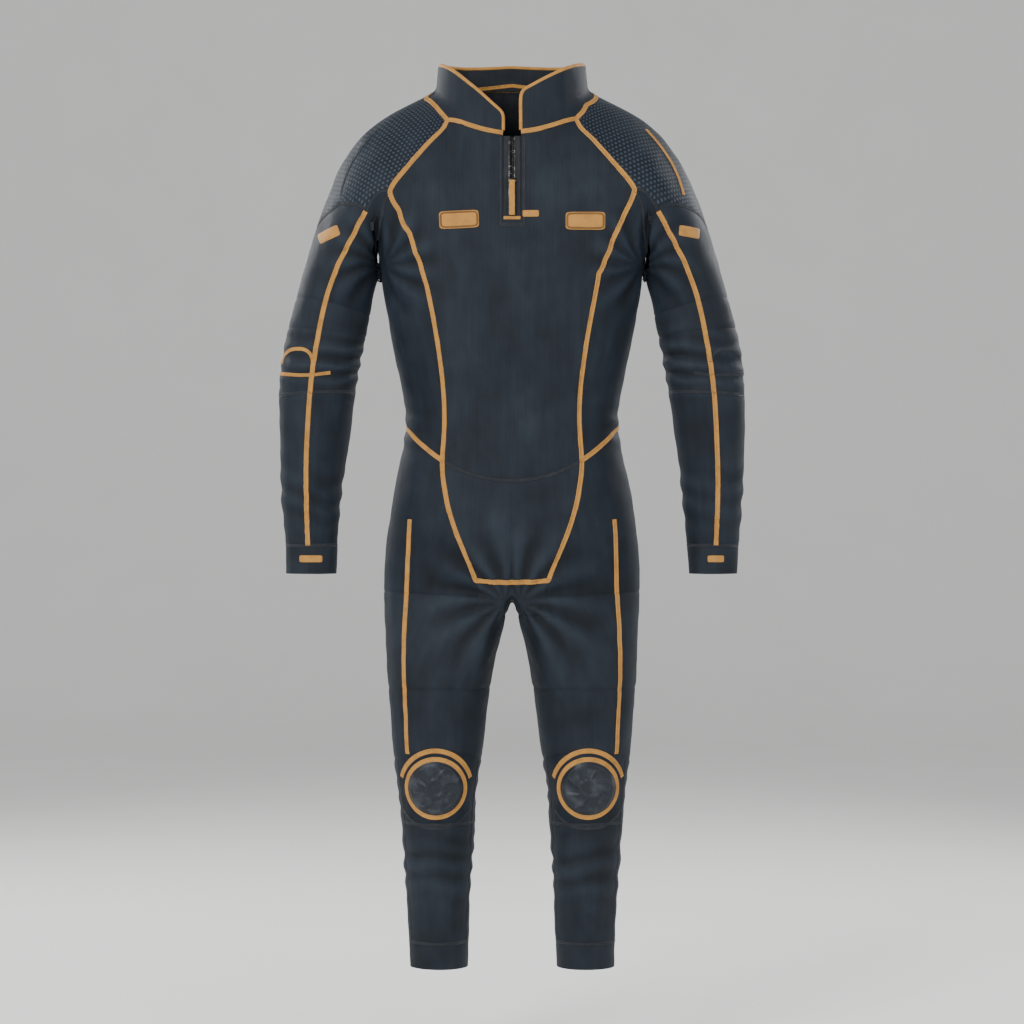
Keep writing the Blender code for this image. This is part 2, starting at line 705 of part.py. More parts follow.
def build_cage():
    cage = Cage()
    n = HALF_COLUMNS
    rings = build_torso(cage)
    armpit_ring = rings[0]
    front = build_yoke(cage, armpit_ring, False)
    back = build_yoke(cage, armpit_ring, True)
    left_side = cage.add(NECK_SIDE)
    right_side = cage.add([mirrored(p) for p in NECK_SIDE])
    rows = range(1, RAGLAN_ROWS + 1)
    left_hole = ([armpit_ring[2 * n]] + [front[r][2 * n] for r in rows] + left_side
                 + [back[r][0] for r in reversed(rows)])
    right_hole = ([armpit_ring[0]] + [front[r][0] for r in rows] + right_side
                  + [back[r][2 * n] for r in reversed(rows)])
    build_sleeve(cage, left_hole, "left")
    build_sleeve(cage, right_hole, "right")
    neck_ring = front[-1] + left_side + back[-1] + list(reversed(right_side))
    top_ring = build_collar(cage, neck_ring)
    crotch = rings[-1]
    front_centre = cage.points[crotch[n]]
    back_centre = cage.points[crotch[3 * n]]
    bridge = []
    for s in (0.25, 0.5, 0.75):
        point = front_centre.lerp(back_centre, s)
        point.z -= 0.008 * math.sin(math.pi * s)
        bridge.append(point)
    b1, b2, b3 = cage.add(bridge)
    left_loop = [b2, b1] + crotch[n:3 * n + 1] + [b3]
    right_loop = [b2, b1] + list(reversed(crotch[:n + 1])) + list(reversed(crotch[3 * n:])) + [b3]
    build_leg(cage, left_loop, "left")
    build_leg(cage, right_loop, "right")
    return cage, top_ring


# ---------------------------------------------------------------- panels as solids
def cage_normals(cage):
    mesh = bpy.data.meshes.new("cage")
    mesh.from_pydata(cage.points, [], cage.faces)
    mesh.update()
    normals = [v.normal.copy() for v in mesh.vertices]
    bpy.data.meshes.remove(mesh)
    for i in cage.slot_rim:     # the slot's walls stand square to the zip
        normals[i].x = 0.0
        normals[i].normalize()
    return normals


def inward_pulls(cage, faces):
    """For the points on a panel's rim, the move that opens half the seam gap."""
    uses = {}
    for f in faces:
        corners = cage.faces[f]
        for a, b in zip(corners, corners[1:] + corners[:1]):
            uses.setdefault(frozenset((a, b)), []).append((a, b, f))
    pulls = {}
    rim = []
    for found in uses.values():
        if len(found) > 1:
            continue
        a, b, f = found[0]
        rim.append((a, b))
        corners = [cage.points[i] for i in cage.faces[f]]
        normal = (corners[1] - corners[0]).cross(corners[-1] - corners[0])
        inward = normal.cross(cage.points[b] - cage.points[a]).normalized()
        for i in (a, b):
            pulls.setdefault(i, []).append(inward)
    moves = {}
    for i, directions in pulls.items():
        total = sum(directions, Vector()).normalized()
        lean = max(0.5, min(total.dot(d) for d in directions))
        moves[i] = total * (SEAM_GAP / 2 / lean)
    return moves, rim


def panel_solid(cage, normals, name, colour, where):
    """Closed solid of one panel: its outer faces, its inner faces and the wall between them."""
    faces = [f for f, panel in enumerate(cage.panels) if panel == name]
    moves, rim = inward_pulls(cage, faces)
    used = sorted({i for f in faces for i in cage.faces[f]})
    place = {i: k for k, i in enumerate(used)}
    outer = [cage.points[i] + moves.get(i, Vector()) for i in used]
    inner = [p - normals[i] * NEOPRENE for p, i in zip(outer, used)]
    count = len(used)
    skin = [[place[i] for i in cage.faces[f]] for f in faces]
    lining = [[count + k for k in reversed(face)] for face in skin]
    wall = []
    for a, b in rim:
        oa, ob, ia, ib = place[a], place[b], count + place[a], count + place[b]
        # both panels along a seam split this twisted wall on the same diagonal, so they nest
        wall += [[ob, oa, ib], [oa, ia, ib]] if a < b else [[ob, oa, ia], [ob, ia, ib]]
    mesh = bpy.data.meshes.new(name)
    mesh.from_pydata(outer + inner, [], skin + lining + wall)
    mesh.update()
    return add_object(name, mesh, where, colour)


PANEL_COLOURS = {"shoulder": "grip", "side": "side", "knee_front": "knee_pad", "hip": "side"}


def build_panels(cage, where):
    normals = cage_normals(cage)
    for name in sorted(set(cage.panels)):
        colour = next((c for key, c in PANEL_COLOURS.items() if key in name), "neoprene")
        panel_solid(cage, normals, name, colour, where)


# ---------------------------------------------------------------- pieces sewn on the outside
def skin_tree(cage):
    return BVHTree.FromPolygons([tuple(p) for p in cage.points], cage.faces)


def on_skin(tree, x, z, lift):
    """Point and normal on the front of the skin at x, z."""
    hit, normal, _, _ = tree.ray_cast(Vector((x, -1.0, z)), Vector((0, 1, 0)))
    return hit + normal * lift, normal


def sewn_patch(name, tree, outline_rings, thickness, lift, colour, where):
    """Pad that follows the skin: rings of (x, z) from the middle outwards, closed on all sides."""
    outer, inner = [], []
    for ring in outline_rings:
        for x, z in ring:
            point, normal = on_skin(tree, x, z, lift)
            inner.append(point)
            outer.append(point + Vector((0, -1, 0)) * thickness)
    count = len(outer)
    size = len(outline_rings[-1])
    faces = []
    for i in range(size):
        j = (i + 1) % size
        faces.append((0, 1 + i, 1 + j))
        for r in range(len(outline_rings) - 2):
            a, b = 1 + r * size, 1 + (r + 1) * size
            faces.append((a + i, b + i, b + j, a + j))
    # a flat facet can sink into a rounded skin, so the whole pad comes forward until none does
    sunk = 0.0
    for face in faces:
        for i in face:
            for j in face:
                for s in (0.25, 0.5, 0.75):
                    between = inner[i].lerp(inner[j], s)
                    sunk = max(sunk, between.y - on_skin(tree, between.x, between.z, 0.0)[0].y)
    if sunk > -SEAT_GAP:
        forward = Vector((0, -(sunk + SEAT_GAP), 0))
        inner = [p + forward for p in inner]
        outer = [p + forward for p in outer]
    lining = [tuple(count + k for k in reversed(face)) for face in faces]
    last = 1 + (len(outline_rings) - 2) * size
    wall = [(last + (i + 1) % size, last + i, count + last + i, count + last + (i + 1) % size)
            for i in range(size)]
    mesh = bpy.data.meshes.new(name)
    mesh.from_pydata(outer + inner, [], faces + lining + wall)
    bm = bmesh.new()
    bm.from_mesh(mesh)
    bmesh.ops.recalc_face_normals(bm, faces=bm.faces)
    bm.to_mesh(mesh)
    bm.free()
    return add_object(name, mesh, where, colour)


def rounded_rings(centre, half_x, half_z, power, steps, count, tilt=0.0):
    """Rings of points from the middle to a rounded rectangle's edge (power 2 is an ellipse)."""
    rings = [[centre]]
    for step in range(1, steps + 1):
        s = step / steps
        ring = []
        for i in range(count):
            turn = 2 * math.pi * i / count
            cx, cz = math.cos(turn), math.sin(turn)
            x = math.copysign(abs(cx) ** (2 / power), cx) * half_x * s
            z = math.copysign(abs(cz) ** (2 / power), cz) * half_z * s
            ring.append((centre[0] + x - z * tilt, centre[1] + z + x * tilt))
        rings.append(ring)
    return rings


def build_patches(cage, where):
    tree = skin_tree(cage)
    half = (CHEST_PATCH[0] / 2, CHEST_PATCH[1] / 2)
    sewn_patch("chest_patch_left", tree, rounded_rings(PATCH_PLACES[0], *half, 8, 5, 40),
               PATCH_THICKNESS, PATCH_LIFT, "amber", where)
    sewn_patch("chest_patch_right", tree, rounded_rings(PATCH_PLACES[1], *half, 8, 5, 40, 0.05),
               PATCH_THICKNESS, PATCH_LIFT, "amber", where)
    for side, sign in (("left", 1), ("right", -1)):
        rings = rounded_rings((sign * KNEE_CENTRE[0], -KNEE_CENTRE[1]), KNEE_PAD_RADIUS,
                              KNEE_PAD_RADIUS, 2, 5, 24)
        sewn_patch(side + "_knee_pad", tree, rings, 0.003, KNEE_PAD_LIFT, "knee_pad", where)


def build_binding(cage, top_ring, where):
    """Rolled binding along the collar's top edge, open where the collar is open."""
    n = HALF_COLUMNS
    count = len(top_ring)
    order = [(n + 1 + i) % count for i in range(count - 1)]
    normals = cage_normals(cage)
    curve = bpy.data.curves.new("neck_binding", "CURVE")
    curve.dimensions = "3D"
    curve.bevel_depth = BINDING_RADIUS
    curve.bevel_resolution = 2
    curve.use_fill_caps = True
    spline = curve.splines.new("POLY")
    spline.points.add(len(order) - 1)
    for point, i in zip(spline.points, order):
        normal = normals[top_ring[i]]
        place = cage.points[top_ring[i]] - Vector((normal.x, normal.y, 0)) * (NEOPRENE / 2)
        place.z += BINDING_RADIUS + 2 * SEAT_GAP
        point.co = (*place, 1.0)
    return solid_from_curve("neck_binding", curve, Matrix(), where, "amber")


# ---------------------------------------------------------------- front zip
def zip_frame(where):
    """Empty at the zip's top on the outer skin: its -Z runs down the zip, its -Y points out."""
    made = bpy.data.objects.new("zip_frame", None)
    where.objects.link(made)
    top, low = centre_line(RAGLAN_ROWS, False), centre_line(0, False)
    down = (low - top).normalized()
    made.location = top + down * ZIP_TOP_MARGIN
    made.rotation_euler.x = math.atan2(down.y, -down.z)
    return made


def comb_outline(sign):
    """Outline of one tape with its row of teeth, in the tape's plane: x across, z along."""
    outer = sign * (ZIP_SLOT_WIDTH / 2 - SEAM_GAP)
    root = sign * 0.0045
    tip = sign * 0.0009
    tooth = ZIP_PITCH * 0.55
    shift = 0.0 if sign > 0 else ZIP_PITCH / 2
    points = [(outer, 0.0), (outer, -ZIP_LENGTH), (root, -ZIP_LENGTH)]
    z = -ZIP_LENGTH + 0.002 + shift
    while z + tooth < -0.001:
        points += [(root, z), (tip, z), (tip, z + tooth), (root, z + tooth)]
        z += ZIP_PITCH
    points.append((root, 0.0))
    return points


UPRIGHT = Matrix.Rotation(math.pi / 2, 4, "X")


def build_zip(frame, where, cutters):
    """Tapes with teeth, stop, flap, slider and pull tab, all placed from the zip's frame."""
    tape_y = NEOPRENE * 0.35
    for side, sign in (("left", 1), ("right", -1)):
        turn = Matrix.Translation((0, tape_y, 0)) @ UPRIGHT
        outline = flat_outline("tape", [comb_outline(sign)], ZIP_TAPE / 2)
        solid_from_curve("zip_tape_" + side, outline, turn, where, "zip_tape", frame)
    stop = box_mesh("zip_stop", (ZIP_SLOT_WIDTH - 2 * SEAM_GAP, 0.0028, ZIP_STOP_LENGTH),
                    (0, tape_y, -ZIP_LENGTH - SEAT_GAP - ZIP_STOP_LENGTH / 2))
    add_object("zip_stop", stop, where, "amber", frame)
    flap_y = NEOPRENE + 0.0006 + ZIP_FLAP / 2
    flap = box_mesh("zip_flap", (ZIP_FLAP_WIDTH, ZIP_FLAP, ZIP_LENGTH + 0.010),
                    (0, flap_y, -(ZIP_LENGTH + 0.010) / 2))
    add_object("zip_flap", flap, where, "side", frame)
    build_slider(frame, tape_y, where, cutters)


def build_slider(frame, tape_y, where, cutters):
    slider_frame = bpy.data.objects.new("slider_frame", None)
    where.objects.link(slider_frame)
    slider_frame.parent = frame
    slider_frame.location = (0, 0, -SLIDER_PARK)
    room = ZIP_TAPE / 2 + 0.0004
    near, far = tape_y - room, tape_y + room
    plate = 0.0013
    half, web, flare = SLIDER_WIDTH / 2, 0.0005, 0.0001
    profile = [(-half, near - plate), (half, near - plate), (half, near - flare), (web, near),
               (web, far), (half, far + flare), (half, far + plate * 0.8),
               (-half, far + plate * 0.8), (-half, far + flare), (-web, far), (-web, near),
               (-half, near - flare)]
    body = solid_from_curve("zip_slider", flat_outline("slider", [profile], SLIDER_LENGTH / 2),
                            Matrix(), where, "slider", slider_frame)
    pin_y = near - plate - 0.0030
    for sign in (-1, 1):
        ear = box_mesh("slider_ear", (0.0012, 0.0048, 0.0036),
                       (sign * (TAB_WIDTH / 2 + 0.0009), near - plate - 0.0022, 0))
        cut(body, as_cutter(add_object("slider_ear", ear, cutters, parent=slider_frame)), "UNION")
    bpy.ops.mesh.primitive_cylinder_add(vertices=16, radius=PIN_RADIUS, depth=TAB_WIDTH + 0.0026,
                                        rotation=(0, math.pi / 2, 0))
    pin = bpy.context.object
    pin.name = "slider_pin"
    for home in list(pin.users_collection):
        home.objects.unlink(pin)
    cutters.objects.link(pin)
    pin.parent = slider_frame
    pin.location = (0, pin_y, 0)
    cut(body, as_cutter(pin), "UNION")
    build_pull_tab(slider_frame, pin_y, where)


def build_pull_tab(slider_frame, pin_y, where):
    """Webbing pull tab rolled round the slider's pin, seen from the side as an outline."""
    hinge = bpy.data.objects.new("tab_hinge", None)
    where.objects.link(hinge)
    hinge.parent = slider_frame
    hinge.location = (0, pin_y, 0)
    hole = PIN_RADIUS + PIN_CLEARANCE
    roll = hole + 0.0009
    half = TAB_THICKNESS / 2
    start = math.asin(half / roll)
    outline = []
    for i in range(17):
        turn = -math.pi / 2 + start + (2 * math.pi - 2 * start) * i / 16
        outline.append((roll * math.cos(turn), roll * math.sin(turn)))
    outline.append((-half, -TAB_LENGTH))
    outline.append((half, -TAB_LENGTH))
    eye = [(hole * math.cos(math.pi * i / 8), hole * math.sin(math.pi * i / 8)) for i in range(16)]
    turn = Matrix.Rotation(math.pi / 2, 4, "Z") @ UPRIGHT
    solid_from_curve("zip_pull_tab", flat_outline("tab", [outline, eye], TAB_WIDTH / 2), turn,
                     where, "amber", hinge)


# ---------------------------------------------------------------- whole suit
def main():
    for old in list(bpy.data.objects):
        bpy.data.objects.remove(old, do_unlink=True)
    suit = collection("full_wetsuit")
    cutters = collection("cutters")
    cage, top_ring = build_cage()
    build_panels(cage, suit)
    build_patches(cage, suit)
    build_binding(cage, top_ring, suit)
    build_zip(zip_frame(suit), suit, cutters)


main()
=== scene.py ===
# %% [markdown]
# # A full wetsuit, hung from its collar
# The suit is cut from some forty neoprene panels, glued edge to edge and closed with flat
# amber seams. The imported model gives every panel's place and size. Here one smooth skin is
# grown from those panels, given soft folds, cut back into the same panels, and then dressed
# with its seams, zip, patches and knee pads.

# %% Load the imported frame
import json
import math

import bmesh
import bpy
import numpy as np
from mathutils import Matrix, Vector
from mathutils.bvhtree import BVHTree

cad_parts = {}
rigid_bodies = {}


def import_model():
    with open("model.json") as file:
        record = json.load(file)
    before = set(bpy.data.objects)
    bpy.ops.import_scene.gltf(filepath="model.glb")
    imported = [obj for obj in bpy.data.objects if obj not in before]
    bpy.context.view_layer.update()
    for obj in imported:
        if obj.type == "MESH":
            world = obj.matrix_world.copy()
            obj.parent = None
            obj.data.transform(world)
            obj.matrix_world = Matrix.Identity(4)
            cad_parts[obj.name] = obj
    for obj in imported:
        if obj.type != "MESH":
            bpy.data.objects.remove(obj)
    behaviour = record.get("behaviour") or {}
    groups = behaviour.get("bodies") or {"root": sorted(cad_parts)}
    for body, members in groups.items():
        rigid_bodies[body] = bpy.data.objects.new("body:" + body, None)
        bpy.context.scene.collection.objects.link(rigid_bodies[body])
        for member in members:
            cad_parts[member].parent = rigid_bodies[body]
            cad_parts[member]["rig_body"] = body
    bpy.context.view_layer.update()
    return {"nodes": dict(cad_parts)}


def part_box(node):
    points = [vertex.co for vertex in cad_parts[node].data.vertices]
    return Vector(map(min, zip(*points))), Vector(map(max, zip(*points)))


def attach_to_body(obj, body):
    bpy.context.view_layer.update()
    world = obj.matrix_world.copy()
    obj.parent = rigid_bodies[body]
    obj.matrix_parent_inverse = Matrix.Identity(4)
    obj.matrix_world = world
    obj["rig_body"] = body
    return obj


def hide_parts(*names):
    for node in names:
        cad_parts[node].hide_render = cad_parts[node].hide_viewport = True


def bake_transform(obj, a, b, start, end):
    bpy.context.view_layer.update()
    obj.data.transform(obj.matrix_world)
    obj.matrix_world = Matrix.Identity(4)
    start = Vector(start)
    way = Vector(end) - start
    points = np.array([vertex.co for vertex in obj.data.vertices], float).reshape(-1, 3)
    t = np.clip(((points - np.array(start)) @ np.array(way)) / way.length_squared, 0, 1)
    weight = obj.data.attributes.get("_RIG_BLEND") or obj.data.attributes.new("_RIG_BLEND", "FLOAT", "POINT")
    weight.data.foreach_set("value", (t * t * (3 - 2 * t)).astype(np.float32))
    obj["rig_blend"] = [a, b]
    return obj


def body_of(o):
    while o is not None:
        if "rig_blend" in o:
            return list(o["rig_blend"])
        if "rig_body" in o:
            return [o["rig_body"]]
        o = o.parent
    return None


scene = bpy.context.scene
for stray in list(scene.objects):
    bpy.data.objects.remove(stray, do_unlink=True)
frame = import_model()

# %% [markdown]
# ## Where each panel belongs
# A rigid panel rides on one body. A panel that crosses a joint bends between two bodies, so
# it needs the joint's two bodies and the place where the bend starts and ends. The left side
# is written down, and the right side is its mirror.

# %% Bodies and bends
BENDS = {
    "upper_sleeve_outer": ("suit_body", "upper_arm", (0.274, 0, -0.338), (0.286, 0, -0.3915)),
    "elbow_panel": ("upper_arm", "forearm", (0.303, 0, -0.442), (0.314, 0, -0.518)),
    "upper_thigh": ("suit_body", "thigh", (0.12, 0, -0.887), (0.12, 0, -0.998)),
    "knee_front": ("thigh", "shin", (0.12, 0, -1.132), (0.12, 0, -1.213)),
}
BENDS["upper_sleeve_inner"] = BENDS["upper_sleeve_outer"]
BENDS["knee_back"] = BENDS["knee_pad"] = BENDS["knee_front"]

HARD_NODES = ("zip_slider", "zip_pull_tab", "zip_stop")
TRIM_NODES = HARD_NODES + ("zip_tape_left", "zip_tape_right", "zip_flap", "neck_binding",
                           "chest_patch_left", "chest_patch_right", "left_knee_pad",
                           "right_knee_pad")
panel_names = [n for n in frame["nodes"] if n not in TRIM_NODES]
slot_of = {n: o.data.materials[0].name for n, o in frame["nodes"].items()}


def zone_of(name):
    """('ride', body) or ('bend', side, bend) for a panel's name."""
    side, _, rest = name.partition("_")
    if side in ("left", "right") and rest in BENDS:
        key = "knee_front" if rest.startswith("knee") else rest.replace("inner", "outer")
        return ("bend", side, key)
    return ("ride", body_of(frame["nodes"][name])[0])


def attach(piece, zone):
    """Ride or bend a finished piece with its zone."""
    if zone[0] == "ride":
        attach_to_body(piece, zone[1])
        return
    _, side, key = zone
    first, second, start, end = BENDS[key]
    sign = 1 if side == "left" else -1
    name = lambda body: body if body == "suit_body" else f"{side}_{body}"
    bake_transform(piece, name(first), name(second), start=(sign * start[0], start[1], start[2]),
             end=(sign * end[0], end[1], end[2]))


print(len(panel_names), "panels")

# %% [markdown]
# ## Small helpers
# Blender's operators act on whatever is selected, so everything is deselected first and one
# object is made active. Faces and edges are then picked in code, inside edit mode.

# %% Selection helpers
suit = bpy.data.collections.new("wetsuit_looks")
scene.collection.children.link(suit)


def only(*objects):
    """Deselect all, then select these objects; the first one is active."""
    bpy.ops.object.select_all(action="DESELECT")
    for o in objects:
        o.select_set(True)
    bpy.context.view_layer.objects.active = objects[0]
    return objects[0]


def edit(obj, select=None):
    """Enter edit mode on obj with only the faces that select(face) picks."""
    only(obj)
    bpy.ops.object.mode_set(mode="EDIT")
    bpy.ops.mesh.select_mode(type="FACE")
    bpy.ops.mesh.select_all(action="DESELECT" if select else "SELECT")
    if select:
        bm = bmesh.from_edit_mesh(obj.data)
        for f in bm.faces:
            if select(f):
                f.select_set(True)
        bmesh.update_edit_mesh(obj.data)


def done():
    bpy.ops.object.mode_set(mode="OBJECT")


def new_mesh(name, points, faces):
    """Mesh object in the suit's collection, from points and faces."""
    mesh = bpy.data.meshes.new(name)
    mesh.from_pydata([tuple(p) for p in points], [], faces)
    mesh.validate()
    obj = bpy.data.objects.new(name, mesh)
    suit.objects.link(obj)
    return obj


def apply_modifier(obj, kind, **values):
    only(obj)
    modifier = obj.modifiers.new(kind.lower(), kind)
    for key, value in values.items():
        setattr(modifier, key, value)
    bpy.ops.object.modifier_apply(modifier=modifier.name)


def smooth(obj, degrees=35):
    only(obj)
    bpy.ops.object.shade_smooth_by_angle(angle=math.radians(degrees))


# %% [markdown]
# ## The outside of every panel
# Each packed panel is a closed slab of neoprene: an outer skin, an inner skin and a narrow
# wall between them. The looks need the outer skin only. Copies of all panels are joined, the
# wall's faces are found by their short edges (the neoprene's thickness) and deleted, and of
# the two skins that are left of each panel the one that faces away from the limb's middle
# is kept.

# %% Join copies of the panels
SHEET = 0.004
copies = []
for name in panel_names:
    tag = bpy.data.materials.new("tag_" + name)
    mesh = frame["nodes"][name].data.copy()
    mesh.materials.clear()
    mesh.materials.append(tag)
    mesh.polygons.foreach_set("material_index", [0] * len(mesh.polygons))
    while mesh.uv_layers:
        mesh.uv_layers.remove(mesh.uv_layers[0])
    copy = bpy.data.objects.new("copy_" + name, mesh)
    suit.objects.link(copy)
    copies.append(copy)
skin = only(*copies)
bpy.ops.object.join()
skin.name = "skin"
edit(skin)
bpy.ops.mesh.remove_doubles(threshold=0.00002)
bpy.ops.mesh.customdata_custom_splitnormals_clear()
done()
edit(skin, lambda f: any(0.003 < e.calc_length() < 0.0062 for e in f.edges))
bpy.ops.mesh.delete(type="FACE")
done()
print("skins", len(skin.data.polygons), "faces")

# %% Keep the outer skins
ARM_LINE = [(0.0, 0.0, -0.20), (0.20, 0.0, -0.26), (0.268, 0.0, -0.32), (0.286, 0, -0.39),
            (0.2975, 0.003, -0.4385), (0.311, 0.003, -0.5325), (0.319, -0.008, -0.675),
            (0.319, -0.02, -0.775), (0.32, -0.025, -0.83)]
LEG_LINE = [(0.104, 0.012, -0.83), (0.11, 0.008, -0.91), (0.116, 0.002, -0.99),
            (0.1185, -0.002, -1.08), (0.1195, -0.002, -1.17), (0.1185, 0.012, -1.3),
            (0.1175, 0.008, -1.46)]
TORSO_LINE = [(0.0, -0.004, -0.02), (0.0, 0.0, -0.35), (0.0, 0.0, -0.58), (0.0, 0.01, -0.83)]
ARM_WORDS = ("sleeve", "arm", "elbow", "cuff", "shoulder")
LEG_WORDS = ("thigh", "knee", "shin", "calf", "ankle")


def line_for(name):
    """Middle line of the limb that a panel wraps, on its own side."""
    line = TORSO_LINE
    if any(word in name for word in ARM_WORDS):
        line = ARM_LINE
    elif any(word in name for word in LEG_WORDS):
        line = LEG_LINE
    sign = -1 if name.startswith("right") else 1
    return np.array(line) * (sign, 1, 1)


def nearest_on_line(points, line):
    """For each point: the nearest point of the line, and how far along the line it is."""
    best, where, along = np.full(len(points), 1e9), np.zeros((len(points), 3)), np.zeros(len(points))
    run = 0.0
    for a, b in zip(line, line[1:]):
        d = b - a
        length = np.linalg.norm(d)
        t = np.clip(((points - a) @ d) / length ** 2, 0, 1)
        near = a + t[:, None] * d
        gap = np.linalg.norm(points - near, axis=1)
        closer = gap < best
        best[closer], where[closer], along[closer] = gap[closer], near[closer], run + t[closer] * length
        run += length
    return where, along


def islands(bm):
    """Groups of faces joined by edges."""
    seen, groups = set(), []
    for face in bm.faces:
        if face in seen:
            continue
        stack, group = [face], []
        seen.add(face)
        while stack:
            f = stack.pop()
            group.append(f)
            for e in f.edges:
                for other in e.link_faces:
                    if other not in seen:
                        seen.add(other)
                        stack.append(other)
        groups.append(group)
    return groups


tags = [m.name[4:] for m in skin.data.materials]
bm = bmesh.new()
bm.from_mesh(skin.data)
inner_faces = set()
for group in islands(bm):
    name = tags[group[0].material_index]
    centres = np.array([f.calc_center_median() for f in group])
    near, _ = nearest_on_line(centres, line_for(name))
    if name == "crotch_panel":
        near = np.tile((0.0, 0.01, -0.80), (len(group), 1))
    vote = sum(f.calc_area() * f.normal.dot(Vector(c - n)) for f, c, n in zip(group, centres, near))
    if vote < 0:
        inner_faces.update(f.index for f in group)
bm.free()
edit(skin, lambda f: f.index in inner_faces)
bpy.ops.mesh.delete(type="FACE")
done()
print("outer skin", len(skin.data.polygons), "faces, dropped", len(inner_faces))

# %% [markdown]
# ## One skin, ready to be smoothed
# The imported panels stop 0.3 mm short of each other. Merging their rims closes the
# skin, and turning the triangles back into quads gives Subdivision Surface clean rows to work
# on. Panel borders are marked as seams first, so that no quad crosses one.

# %% Weld the seams and make quads
edit(skin)
bpy.ops.mesh.remove_doubles(threshold=0.0008)
done()


def mark_borders(obj):
    bm = bmesh.new()
    bm.from_mesh(obj.data)
    for e in bm.edges:
        e.seam = len(e.link_faces) == 2 and e.link_faces[0].material_index != e.link_faces[1].material_index
    bm.to_mesh(obj.data)
    bm.free()


mark_borders(skin)
edit(skin)
bpy.ops.mesh.tris_convert_to_quads(face_threshold=math.pi, shape_threshold=math.pi, seam=True,
                                   topology_influence=1.0)
bpy.ops.mesh.normals_make_consistent(inside=False)
done()
quads = sum(len(p.vertices) == 4 for p in skin.data.polygons)
print("cage", len(skin.data.polygons), "faces,", quads, "quads")

# %% [markdown]
# ## Lines that run on through a panel
# The sleeve's front seam runs on over the arm band and the elbow, and the outer thigh seam
# runs up over the hip. Where a border ends against the side of a panel, the edge straight
# ahead is followed until it meets the next border. These edges also cut the tube-shaped
# panels open for their flat pattern.

# %% Follow the edges straight ahead
def follow_lines(bm):
    """Edges reached by going straight on from the ends of the panel borders."""
    found = []
    for v in bm.verts:
        borders = [e for e in v.link_edges if e.seam]
        if len(v.link_edges) != 4 or len(borders) != 3:
            continue
        edge = next(e for e in v.link_edges if not e.seam)
        spot = v
        run = []
        while edge is not None and not edge.seam and edge not in run and len(run) < 400:
            run.append(edge)
            spot = edge.other_vert(spot)
            if len(spot.link_edges) != 4 or any(e.seam for e in spot.link_edges):
                break
            faces = set(edge.link_faces)
            edge = next((e for e in spot.link_edges if not faces & set(e.link_faces)), None)
        found.append(run)
    return found


bm = bmesh.new()
bm.from_mesh(skin.data)
lines = follow_lines(bm)
for run in lines:
    for e in run:
        e.seam = True
bm.to_mesh(skin.data)
bm.free()
print("lines through panels", len(lines), "edges", sum(map(len, lines)))

# %% Lay each panel flat
edit(skin)
bpy.ops.uv.unwrap(method="ANGLE_BASED", margin=0.01)
done()


def scale_uv_to_metres(obj):
    """Turns and scales each island of the flat pattern: one unit is a metre, +V is up."""
    mesh = obj.data
    bm = bmesh.new()
    bm.from_mesh(mesh)
    uv = bm.loops.layers.uv.active
    seen = set()
    for start in bm.faces:
        if start in seen:
            continue
        stack, group = [start], []
        seen.add(start)
        while stack:
            f = stack.pop()
            group.append(f)
            for e in f.edges:
                if e.seam:
                    continue
                for other in e.link_faces:
                    if other not in seen:
                        seen.add(other)
                        stack.append(other)
        loops = [l for f in group for l in f.loops]
        flat = np.array([l[uv].uv for l in loops])
        height = np.array([l.vert.co.z for l in loops])
        area = sum(f.calc_area() for f in group)
        flat_area = 0.0
        for f in group:
            p = [l[uv].uv for l in f.loops]
            flat_area += abs(sum(a.x * b.y - b.x * a.y for a, b in zip(p, p[1:] + p[:1]))) / 2
        grow = math.sqrt(area / max(flat_area, 1e-9))
        slope = np.linalg.lstsq(np.c_[flat, np.ones(len(flat))], height, rcond=None)[0][:2]
        turn = math.atan2(slope[0], slope[1])
        c, s = math.cos(turn), math.sin(turn)
        flat = (flat - flat.mean(0)) @ np.array([[c, s], [-s, c]]) * grow
        for l, p in zip(loops, flat):
            l[uv].uv = p
    bm.to_mesh(mesh)
    bm.free()


scale_uv_to_metres(skin)
print("flat pattern laid")

# %% Smooth the cage
slot_corners = [v.index for v in skin.data.vertices
                if abs(abs(v.co.x) - 0.014) < 0.002 and abs(v.co.z + 0.2645) < 0.004 and v.co.y < 0]
crease = skin.data.attributes.new("crease_vert", "FLOAT", "POINT")
for i in slot_corners:
    crease.data[i].value = 1.0
SMOOTH_LEVELS = 3
apply_modifier(skin, "SUBSURF", levels=SMOOTH_LEVELS, render_levels=SMOOTH_LEVELS,
               uv_smooth="PRESERVE_BOUNDARIES")
print("smooth skin", len(skin.data.polygons), "faces; slot corners", len(slot_corners))

# %% [markdown]
# ## Folds
# Neoprene is thick and springy. A hung suit shows few, round folds: buckles inside the
# elbow and behind the knee, pulls that fan out from the armpit and the crotch, and a gentle
# unevenness everywhere. Each is a sum of smooth waves, so the folds are made by moving the
# points of the skin along their normals.

# %% Noise and wave helpers
def skin_arrays(obj):
    mesh = obj.data
    count = len(mesh.vertices)
    co, no = np.empty(count * 3), np.empty(count * 3)
    mesh.vertices.foreach_get("co", co)
    mesh.vertex_normals.foreach_get("vector", no)
    return co.reshape(-1, 3), no.reshape(-1, 3)


